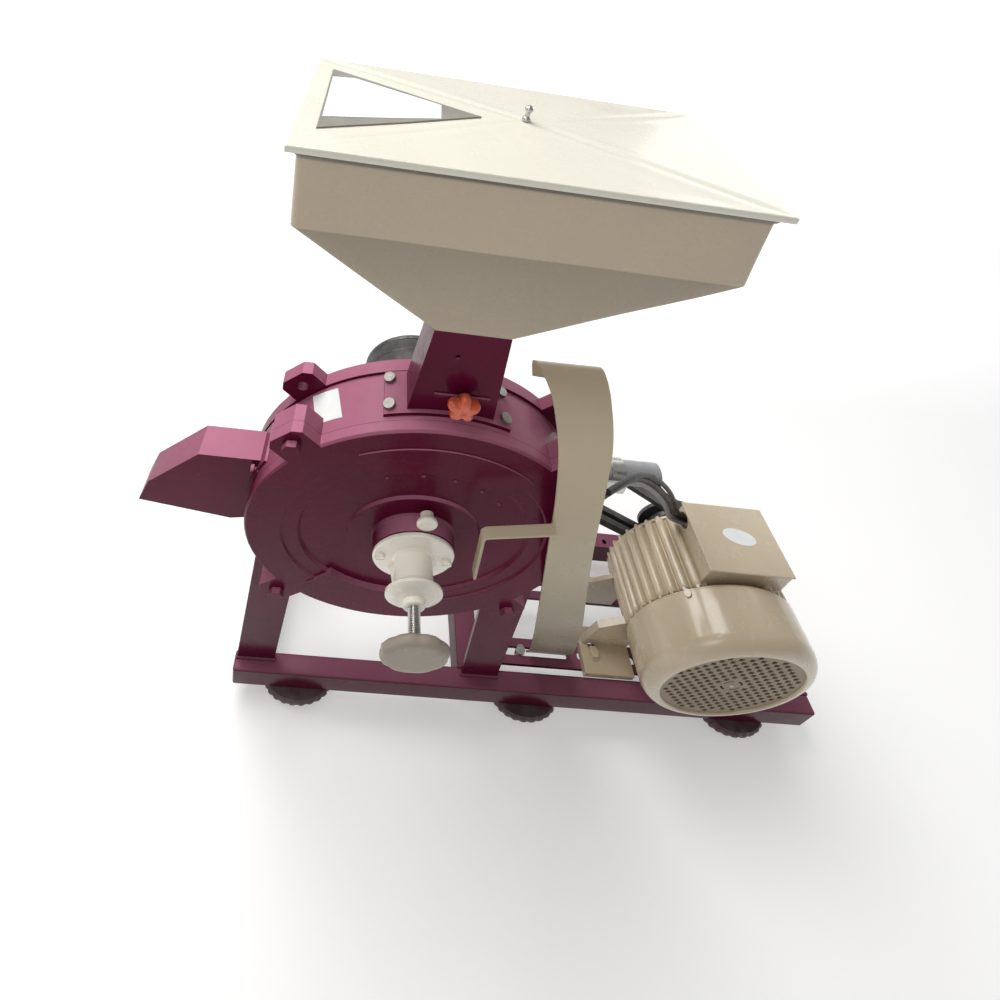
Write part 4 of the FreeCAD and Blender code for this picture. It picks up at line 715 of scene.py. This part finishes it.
def lid_height(x, y):
    """Height of the lid's crowned sheet in mm: four facets, pressed diagonals and a slight oil-can wave."""
    cx, cy = (LID[0] + LID[1]) / 2, (LID[2] + LID[3]) / 2
    u = abs(x - cx) / ((LID[1] - LID[0]) / 2)
    v = abs(y - cy) / ((LID[3] - LID[2]) / 2)
    edge = max(u, v)
    off = abs(u - v) * 66
    crease = -0.75 * math.exp(-(off / 2.6) ** 2) + 0.45 * math.exp(-((off - 6) / 3.5) ** 2)
    wave = 0.5 * math.sin(x / 31 + 1) * math.sin(y / 24 + x / 90)
    return LID_TOP + LID_RISE * (1 - edge) + (crease + wave) * min(1, (1 - edge) * 9) * (1 - 0.4 * (1 - edge))


class MILL_OT_lid(bpy.types.Operator):
    """Crowns the lid's sheet with creases from its corners, and folds its edge down"""
    bl_idname = "mill.lid"
    bl_label = "Hopper lid"

    def execute(self, context):
        x0, x1, y0, y1 = LID
        cx, cy = (x0 + x1) / 2, (y0 + y1) / 2
        steps = [0, 0.004, 0.010, 0.02, 0.035, 0.06] + [0.1 + 0.8 * i / 22 for i in range(23)] + [
            0.94, 0.965, 0.98, 0.99, 0.996, 1]

        def ring(share, z=None, grow=0.0):
            hx = (x1 - x0) / 2 * share + grow
            hy = (y1 - y0) / 2 * share + grow
            corners = ((-1, -1), (1, -1), (1, 1), (-1, 1))
            out = []
            for k, (a, b) in enumerate(corners):
                c, d = corners[(k + 1) % 4]
                for t in steps[:-1]:
                    x = cx + (a + (c - a) * t) * hx
                    y = cy + (b + (d - b) * t) * hy
                    out.append((x, y, lid_height(x, y) if z is None else z))
            return out

        shares = [0.004, 0.012, 0.03] + [0.06 + 0.92 * i / 44 for i in range(45)] + [0.993]
        top = [ring(s) for s in shares]
        bend = [ring(1, LID_TOP - 0.15, -0.35), ring(1, LID_TOP - 0.6, 0.0), ring(1, LID_TOP - 4.1, 0.0),
                ring(1, LID_TOP - 4.45, -0.35), ring(1, LID_TOP - 4.1, -1.15), ring(1, LID_TOP - 1.6, -1.2)]
        under = [[(x, y, z - 1.2) for x, y, z in loop] for loop in reversed(top[:-1])]
        points, faces = skin(top + bend + under)
        count = len(top[0])
        faces.append(tuple(range(count))[::-1])
        faces.append(tuple(range(len(points) - count, len(points))))
        mesh = tidied(from_points("lid_sheet", points, faces), 50)
        make("lid_sheet", mesh, "cream", "lid", ("hopper_lid",), "cream_paint")
        self.plate("window_plate", ((-123.5, 127), (-122.5, 28), (-18, 72)), 0.12, 1.0, "grey", ("lid_window",))
        self.plate("window_paper", ((-122.0, 111), (-121.0, 43.5), (-46, 61.2), (-44.6, 83), (-106, 112.5)),
                   1.16, 0.25, "paper")
        return {"FINISHED"}

    def plate(self, name, outline, lift, thick, key, replaces=()):
        """A flat plate that follows the lid's left facet, divided so that it bends with it."""
        work = bmesh.new()
        verts = [work.verts.new((x, y, 0)) for x, y in outline]
        work.faces.new(verts)
        for axis in (0, 1):
            for k in range(1, 26):
                place = [0, 0, 0]
                place[axis] = (-140 + 5.3 * k) if axis == 0 else (5.3 * k)
                normal = [0, 0, 0]
                normal[axis] = 1
                bmesh.ops.bisect_plane(work, geom=work.verts[:] + work.edges[:] + work.faces[:],
                                       plane_co=place, plane_no=normal)
        made = bmesh.ops.extrude_face_region(work, geom=work.faces[:])
        for vert in made["geom"]:
            if isinstance(vert, bmesh.types.BMVert):
                vert.co.z += thick
        for vert in work.verts:
            x, y, z = vert.co
            vert.co = at(x, y, lid_height(x, y) + lift + z)
        bmesh.ops.recalc_face_normals(work, faces=work.faces)
        mesh = bpy.data.meshes.new(name)
        work.to_mesh(mesh)
        work.free()
        make(name, tidied(mesh, 40), key, "lid", replaces, "grey_plastic")


class MILL_OT_adjuster(bpy.types.Operator):
    """Cuts the spindle's thread and shapes the scalloped hand wheel"""
    bl_idname = "mill.adjuster"
    bl_label = "Stone adjuster"

    def execute(self, context):
        pitch, radius, around, per = 1.5, 5.15, 28, 7
        rings = []
        start, end = -81.9, -17.1
        count = int((end - start) / pitch * per)
        for i in range(count + 1):
            y = start + (end - start) * i / count
            ease = min(1, (y - start) / 1.5, (end - y) / 1.5)
            ring = []
            for k in range(around):
                turn = 2 * math.pi * k / around
                phase = (y / pitch - k / around) % 1
                tooth = abs(phase * 2 - 1)
                r = radius - 0.85 * min(1, max(0, tooth * 1.5 - 0.25)) - (1 - ease) * 0.5
                ring.append((r * math.cos(turn), y, r * math.sin(turn)))
            rings.append(ring)
        points, faces = skin(rings)
        faces.append(tuple(range(around)))
        faces.append(tuple(range(len(points) - around, len(points)))[::-1])
        make("threaded_spindle", tidied(from_points("threaded_spindle", points, faces), 75), "steel",
             "adjuster_wheel", ("adjusting_spindle",), "steel")
        profile = [(0.01, -84.9), (8, -84.9), (16, -84.9), (21, -84.85), (24, -84.6), (25.8, -83.8), (26.9, -82.4),
                   (27.4, -80.6), (27.2, -78.8), (25.2, -77.3), (22, -77.0), (12, -77.0), (9.6, -76.6), (9.0, -75.6),
                   (8.4, -71.6), (7.6, -71.1), (5.3, -71.0)]
        rings = []
        around = 144
        for r, y in profile:
            ring = []
            for k in range(around):
                turn = 2 * math.pi * k / around
                scallop = 0.5 + 0.5 * math.cos(8 * (turn - math.radians(1)))
                depth = 1.2 * scallop ** 3 * min(1, max(0, (r - 20) / 6))
                ring.append(((r - depth) * math.cos(turn), y, (r - depth) * math.sin(turn)))
            rings.append(ring)
        points, faces = skin(rings)
        make("scalloped_wheel", tidied(from_points("scalloped_wheel", points, faces), 60), "wheel",
             "adjuster_wheel", ("hand_wheel",), "cream_paint")
        plug = [(0.05, -12.6), (6.6, -12.6), (8.3, -12.3), (8.9, -11.5), (8.9, -9.6), (8.4, -8.8), (6.0, -8.6),
                (5.6, -3.0), (0.05, -3.0)]
        make("grease_disc", tidied(lathe("grease_disc", plug, 4.0, 45.5, 64), 45), "white",
             replaces=("grease_plug",), slot="cream_paint")
        return {"FINISHED"}


class MILL_OT_knob(bpy.types.Operator):
    """Shapes the orange star knob of the feed gate"""
    bl_idname = "mill.knob"
    bl_label = "Star knob"

    def execute(self, context):
        profile = [(0.05, 1.9), (1.6, 1.9), (2.2, 1.4), (3.0, 1.05), (6, 1.0), (8.5, 1.2), (10.8, 1.9), (12.3, 3.3),
                   (12.9, 5.2), (12.9, 7.2), (12.3, 9.4), (10.8, 11.0), (8.0, 11.8), (3.1, 12.0)]
        rings = []
        around = 120
        for r, y in profile:
            ring = []
            for k in range(around):
                turn = 2 * math.pi * k / around
                lobe = 0.5 - 0.5 * math.cos(5 * (turn - math.pi / 2))
                depth = 4.6 * lobe ** 1.6 * min(1, max(0, (r - 4) / 8))
                ring.append((8.5 + (r - depth) * math.cos(turn), y, 173 + (r - depth) * math.sin(turn)))
            rings.append(ring)
        points, faces = skin(rings)
        make("star_knob", tidied(from_points("star_knob", points, faces), 60), "orange", "gate_knob",
             ("feed_knob",), "orange_plastic")
        return {"FINISHED"}


class MILL_OT_feet(bpy.types.Operator):
    """Moulds the six oval rubber feet with upright ribs"""
    bl_idname = "mill.feet"
    bl_label = "Rubber feet"

    def execute(self, context):
        levels = [(-385.05, 0.2), (-385.05, 0.9), (-386.2, 0.93), (-388.5, 0.985), (-392.0, 1.0), (-396.0, 0.985),
                  (-400.0, 0.93), (-403.5, 0.84), (-406.0, 0.74), (-408.2, 0.64), (-408.9, 0.58), (-409.0, 0.52),
                  (-409.0, 0.2)]
        around = 132
        rings = []
        for z, share in levels:
            ring = []
            for k in range(around):
                turn = 2 * math.pi * k / around
                rib = 1 if (k % 6) < 3 else 0
                side = min(1, max(0, (share - 0.62) / 0.2)) * (1 if -405 < z < -386 else 0)
                cut = 1 - 0.035 * (1 - rib) * side
                ring.append((42 * share * cut * math.cos(turn), 23 * share * cut * math.sin(turn), z + 385))
            rings.append(ring)
        points, faces = skin(rings)
        faces.append(tuple(range(around)))
        faces.append(tuple(range(len(points) - around, len(points)))[::-1])
        places = [(x, y, -385) for x in (-78.0, 213.0, 495.0) for y in (21.0, 197.0)]
        repeated("rubber_feet", tidied(small("rubber foot", points, faces), 38), places, "foot",
                 replaces=("base_feet",), slot="black_rubber")
        return {"FINISHED"}


LEAD_LINE = ((139, -8, 110), (169, 13, 99), (201, 37, 71), (230, 52, 44), (273, 75, -7), (317, 104, -68),
             (348, 120, -113), (363, 127, -138), (377, 125, -140.5))
LEADS = (("upper_lead", "lead_black_upper", 0.0052, "sheath"), ("lower_lead", "lead_black_lower", 0.0052, "sheath"),
         ("pale_lead", "lead_grey", 0.006, "grey sheath"))


class MILL_OT_leads(bpy.types.Operator):
    """Lays the three leads from the clip behind the strap to the terminal box"""
    bl_idname = "mill.leads"
    bl_label = "Leads"

    def execute(self, context):
        for step, (name, node, thick, key) in enumerate(LEADS):
            line = [at(x - 3.0 * step, y, z - 6.0 * step) for x, y, z in LEAD_LINE[:-1]]
            line.append(at(LEAD_LINE[-1][0], LEAD_LINE[-1][1], LEAD_LINE[-1][2] - 6.0 * step))
            curve = bpy.data.curves.new(name, "CURVE")
            curve.dimensions = "3D"
            curve.bevel_depth = thick / 2
            curve.bevel_resolution = 5
            curve.use_fill_caps = True
            curve.resolution_u = 16
            spline = curve.splines.new("NURBS")
            spline.points.add(len(line) - 1)
            for point, place in zip(spline.points, line):
                point.co = (*place, 1)
            spline.order_u = 3
            spline.use_endpoint_u = True
            lead = bpy.data.objects.new(name, curve)
            bpy.context.scene.collection.objects.link(lead)
            curve.materials.append(PALETTE[key])
            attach(lead, "machine")
            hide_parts(node)
        return {"FINISHED"}


def oval(count, half_wide, half_deep):
    return [(half_wide * math.cos(2 * math.pi * k / count), half_deep * math.sin(2 * math.pi * k / count))
            for k in range(count)]


def perforated(name, x, z, y, radius, holes, thick):
    """A flat disc facing the front, pierced by outlines in mm round its centre."""
    work = bmesh.new()
    edges = []
    for outline in [oval(120, radius, radius)] + holes:
        verts = [work.verts.new((x + px, y, z + pz)) for px, pz in outline]
        edges += [work.edges.new((a, b)) for a, b in zip(verts, verts[1:] + verts[:1])]
    bmesh.ops.triangle_fill(work, use_beauty=True, use_dissolve=False, edges=edges)
    made = bmesh.ops.extrude_face_region(work, geom=work.faces[:])
    for vert in made["geom"]:
        if isinstance(vert, bmesh.types.BMVert):
            vert.co.y += thick
    for vert in work.verts:
        vert.co = at(*vert.co)
    bmesh.ops.recalc_face_normals(work, faces=work.faces)
    mesh = bpy.data.meshes.new(name)
    work.to_mesh(mesh)
    work.free()
    return tidied(mesh, 30)


class MILL_OT_fan_cover(bpy.types.Operator):
    """Presses the fan cover with its rounded corner and lip, and pierces the grille"""
    bl_idname = "mill.fan_cover"
    bl_label = "Fan cover"

    def execute(self, context):
        x, z, corner = 415.0, -245.0, 17.0
        profile = [(97.4, 56.0), (98.4, 56.0), (99.3, 55.4), (99.4, 54), (99.4, 34)]
        for k in range(13):
            turn = math.radians(90 * k / 12)
            profile.append((82.4 + corner * math.cos(turn), 14 - corner * math.sin(turn)))
        profile += [(81.9, -3.0), (81.3, -2.8), (80.8, -2.2), (80.4, -1.2), (80.2, 1.2), (81.0, 2.0)]
        for k in range(12, -1, -1):
            turn = math.radians(90 * k / 12)
            profile.append((82.4 + 15 * math.cos(turn), 17 - 15 * math.sin(turn)))
        rings = []
        for radius, y in profile:
            rings.append([(x + radius * math.cos(math.radians(2.5 * i)), y, z + radius * math.sin(math.radians(2.5 * i)))
                          for i in range(144)])
        points, faces = skin(rings, closed=True)
        make("fan_cowl", tidied(from_points("fan_cowl", points, faces), 40), "motor", replaces=("fan_cover",),
             slot="motor_paint")
        holes = []
        for row in range(-11, 12):
            for column in range(-12, 13):
                hx, hz = column * 6.4, row * 7.3
                if (row + column) % 2 == 0 and 16 < math.hypot(hx, hz) < 74:
                    holes.append([(hx + 3.4 * math.cos(t) * (1 - 0.12 * math.cos(4 * t)),
                                   hz + 3.4 * math.sin(t) * (1 - 0.12 * math.cos(4 * t)))
                                  for t in [2 * math.pi * k / 16 for k in range(16)]])
        for quarter in range(4):
            first, last = math.radians(90 * quarter + 12), math.radians(90 * quarter + 72)
            arc = [first + (last - first) * k / 9 for k in range(10)]
            holes.append([(12.6 * math.cos(t), 12.6 * math.sin(t)) for t in arc]
                         + [(10.2 * math.cos(t), 10.2 * math.sin(t)) for t in reversed(arc)])
        grille = perforated("fan_grille", x, z, -0.9, 80.5, holes, 1.5)
        make("fan_grille", grille, "grille", slot="motor_paint", smooth=False)
        boss = [(0.05, -2.0), (1.6, -2.0), (2.3, -1.7), (2.6, -0.85)]
        make("grille_boss", tidied(lathe("grille_boss", boss, x, z, 32), 50), "motor", slot="motor_paint")
        return {"FINISHED"}


class MILL_OT_ribs(bpy.types.Operator):
    """Casts the broad cooling ribs over both flanks of the motor's barrel"""
    bl_idname = "mill.ribs"
    bl_label = "Motor ribs"

    def execute(self, context):
        x, z, pitch = 415.0, -245.0, 360.0 / 39
        stations = ((59.6, 4.0), (60.2, 1.6), (61.6, 0.5), (64.0, 0.0), (96.0, 0.0), (128.0, 0.0), (133.0, 0.5),
                    (136.6, 2.0), (138.6, 4.4), (139.4, 7.0))
        points, faces = [], []
        for first, last in ((-51.0, 66.5), (113.5, 231.0)):
            count = int((last - first) * 4)
            angles = [first + (last - first) * k / count for k in range(count + 1)]
            rings = []
            for y, drop in stations:
                outer, inner = [], []
                for angle in angles:
                    phase = (angle / pitch) % 1 - 0.5
                    end = min(1, (angle - first) / 1.5 + 0.2, (last - angle) / 1.5 + 0.2)
                    radius = 97.7 - 7.5 * math.exp(-(phase / 0.17) ** 2) - 0.5 * math.cos(phase * 2 * math.pi) - 5 * (1 - end)
                    radius = max(radius - drop, 86.0)
                    turn = math.radians(angle)
                    outer.append((x + radius * math.cos(turn), y, z + radius * math.sin(turn)))
                    inner.append((x + 84.3 * math.cos(turn), y, z + 84.3 * math.sin(turn)))
                rings.append(outer + inner[::-1])
            more, sides = skin(rings)
            sides.append(tuple(range(len(rings[0])))[::-1])
            sides.append(tuple(range(len(more) - len(rings[0]), len(more))))
            start = len(points)
            points += more
            faces += [tuple(start + v for v in face) for face in sides]
        make("motor_ribs", tidied(from_points("motor_ribs", points, faces), 40), "motor", slot="motor_paint")
        return {"FINISHED"}


class MILL_OT_welds(bpy.types.Operator):
    """Lays the weld beads where the legs and the cross members meet the rails"""
    bl_idname = "mill.welds"
    bl_label = "Weld beads"

    def execute(self, context):
        runs = []
        for name in ("left_leg", "right_leg"):
            spots = [(v.co - SHAFT) * 1000 for v in NODES[name].data.vertices]
            foot = [p for p in spots if p.z < -344.4]
            runs.append((min(p.x for p in foot), max(p.x for p in foot), 23.6, -344.4))
        spots = [(v.co - SHAFT) * 1000 for v in NODES["cross_members"].data.vertices]
        ends = sorted(p.x for p in spots if abs(p.y - 31) < 0.5)
        groups = [[ends[0], ends[0]]]
        for x in ends:
            if x - groups[-1][1] > 70:
                groups.append([x, x])
            groups[-1][1] = x
        for first, last in groups:
            runs += [(first + 1, last - 1, 31.2, -344.9), (first + 1, last - 1, 186.8, -344.9)]
        places = []
        for first, last, y, z in runs:
            count = max(2, int((last - first) / 1.9))
            places += [(first + (last - first) * k / count, y, z) for k in range(count + 1)]
        rings = []
        for level in range(1, 8):
            tilt = math.pi * level / 8
            rings.append([(1.9 * math.sin(tilt) * math.cos(2 * math.pi * k / 12), 2.3 * math.sin(tilt)
                           * math.sin(2 * math.pi * k / 12), 1.7 * math.cos(tilt)) for k in range(12)])
        points, faces = skin(rings)
        faces.append(tuple(range(12))[::-1])
        faces.append(tuple(range(len(points) - 12, len(points))))
        repeated("weld_beads", tidied(small("weld ripple", points, faces), 60), places, "maroon", 0.14, 7,
                 slot="base_paint")
        return {"FINISHED"}


class MILL_OT_bracket(bpy.types.Operator):
    """Bends the flat bar that steadies the strap"""
    bl_idname = "mill.bracket"
    bl_label = "Strap bracket"

    def execute(self, context):
        line = [(51.2, 6.0), (47.6, 40.0), (45.0, 64.0), (45.0, 66.6), (46.2, 68.6), (48.4, 69.8), (72.0, 76.0), (99.5, 83.2)]
        rings = []
        for i, (x, z) in enumerate(line):
            before, after = line[max(i - 1, 0)], line[min(i + 1, len(line) - 1)]
            ahead = Vector((after[0] - before[0], after[1] - before[1])).normalized()
            side = Vector((-ahead.y, ahead.x)) * 1.25
            narrow = 0.4
            rings.append([(x + side.x, -30.5 + narrow, z + side.y), (x + side.x * 0.6, -30.5, z + side.y * 0.6),
                          (x - side.x * 0.6, -30.5, z - side.y * 0.6), (x - side.x, -30.5 + narrow, z - side.y),
                          (x - side.x, -21.5 - narrow, z - side.y), (x - side.x * 0.6, -21.5, z - side.y * 0.6),
                          (x + side.x * 0.6, -21.5, z + side.y * 0.6), (x + side.x, -21.5 - narrow, z + side.y)])
        points, faces = skin(rings)
        faces.append(tuple(range(8))[::-1])
        faces.append(tuple(range(len(points) - 8, len(points))))
        make("bracket_bar", tidied(from_points("bracket_bar", points, faces), 32), "guard",
             replaces=("guard_bracket",), slot="guard_paint")
        return {"FINISHED"}


STRAP = ((208, 266, 50, -343, -343), (207, 264, 45, -325, -325), (185, 239, 27, -245, -245), (163, 214, 12, -165, -164),
         (143, 189, 2, -88, -87), (110, 149, -16, 34, 37), (91, 128, -21, 115, 119), (79, 118, -14, 167, 174),
         (71.5, 115, 8, 194, 199), (66, 116, 30, 199, 202), (66, 120, 46, 188, 188), (73, 126, 52, 166, 162))


class MILL_OT_strap(bpy.types.Operator):
    """Bends the painted strap in one smooth sweep over the belt side"""
    bl_idname = "mill.strap"
    bl_label = "Guard strap"

    def execute(self, context):
        def between(a, b, c, d, t):
            return 0.5 * (2 * b + (c - a) * t + (2 * a - 5 * b + 4 * c - d) * t * t + (3 * b - a - 3 * c + d) * t ** 3)

        grid = []
        for i in range(len(STRAP) - 1):
            four = [STRAP[min(max(k, 0), len(STRAP) - 1)] for k in (i - 1, i, i + 1, i + 2)]
            for step in range(8):
                x0, x1, y, left, right = [between(*[row[c] for row in four], step / 8) for c in range(5)]
                grid.append([Vector((x0 + (x1 - x0) * k / 10, y, left + (right - left) * k / 10)) for k in range(11)])
        x0, x1, y, left, right = STRAP[-1]
        grid.append([Vector((x0 + (x1 - x0) * k / 10, y, left + (right - left) * k / 10)) for k in range(11)])
        rings = []
        for i, row in enumerate(grid):
            ahead = grid[min(i + 1, len(grid) - 1)][5] - grid[max(i - 1, 0)][5]
            normal = (row[10] - row[0]).cross(ahead).normalized()
            inner = [p - normal * 2.0 for p in row]
            rings.append([tuple(p) for p in row] + [tuple(p) for p in reversed(inner)])
        points, faces = skin(rings)
        count = len(rings[0])
        faces.append(tuple(range(count))[::-1])
        faces.append(tuple(range(len(points) - count, len(points))))
        make("guard_strap", tidied(from_points("guard_strap", points, faces), 40), "guard", replaces=("belt_guard",),
             slot="guard_paint")
        return {"FINISHED"}

class MILL_OT_labels(bpy.types.Operator):
    """Sticks the blank labels on the drum and the terminal box"""
    bl_idname = "mill.labels"
    bl_label = "Blank labels"

    def execute(self, context):
        points, faces = [], []
        rows, columns = 8, 12
        for layer in (150.3, 150.02):
            for i in range(rows + 1):
                v = i / rows
                for k in range(columns + 1):
                    u = k / columns
                    first = 134.5 + (124.5 - 134.5) * u
                    last = 131.2 + (121.8 - 131.2) * u
                    turn = math.radians(first + (last - first) * v)
                    y = (51 - 1.5 * u) + (-30 + 0.5 * u) * v
                    points.append((layer * math.cos(turn), y, layer * math.sin(turn)))
        size = (rows + 1) * (columns + 1)
        for base, flip in ((0, False), (size, True)):
            for i in range(rows):
                for k in range(columns):
                    a = base + i * (columns + 1) + k
                    quad = (a, a + 1, a + columns + 2, a + columns + 1)
                    faces.append(quad[::-1] if flip else quad)
        make("drum_label", tidied(from_points("drum_label", points, faces), 30), "paper", slot="grey_plastic")
        top = [(428.6 + x - 0.5 * y, 103 + y, -131.72) for x, y in oval(48, 19.4, 9.4)]
        low = [(x, y, -131.98) for x, y, z in top]
        points, faces = skin([low, top])
        faces.append(tuple(range(48, 96)))
        make("box_label", tidied(from_points("box_label", points, faces), 30), "paper", slot="grey_plastic")
        return {"FINISHED"}


class MILL_PT_panel(bpy.types.Panel):
    """Lists the steps"""
    bl_label = "Flour mill"
    bl_idname = "MILL_PT_panel"
    bl_space_type = "VIEW_3D"
    bl_region_type = "UI"
    bl_category = "Flour mill"

    def draw(self, context):
        look = context.scene.mill_look
        self.layout.prop(look, "maroon")
        self.layout.prop(look, "cream")
        for step in STEPS:
            self.layout.operator(step.bl_idname)


STEPS = (MILL_OT_stage, MILL_OT_finishes, MILL_OT_hopper, MILL_OT_lid, MILL_OT_adjuster, MILL_OT_knob,
         MILL_OT_feet, MILL_OT_leads, MILL_OT_fan_cover, MILL_OT_ribs, MILL_OT_strap, MILL_OT_bracket,
         MILL_OT_welds, MILL_OT_labels)
CLASSES = (MillLook, *STEPS, MILL_PT_panel)


def register():
    for cls in CLASSES:
        bpy.utils.register_class(cls)
    bpy.types.Scene.mill_look = bpy.props.PointerProperty(type=MillLook)


def unregister():
    del bpy.types.Scene.mill_look
    for cls in reversed(CLASSES):
        bpy.utils.unregister_class(cls)


def main():
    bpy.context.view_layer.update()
    register()
    for step in STEPS:
        group, name = step.bl_idname.split(".")
        getattr(getattr(bpy.ops, group), name)()
    bpy.context.view_layer.update()


if __name__ == "__main__":
    main()
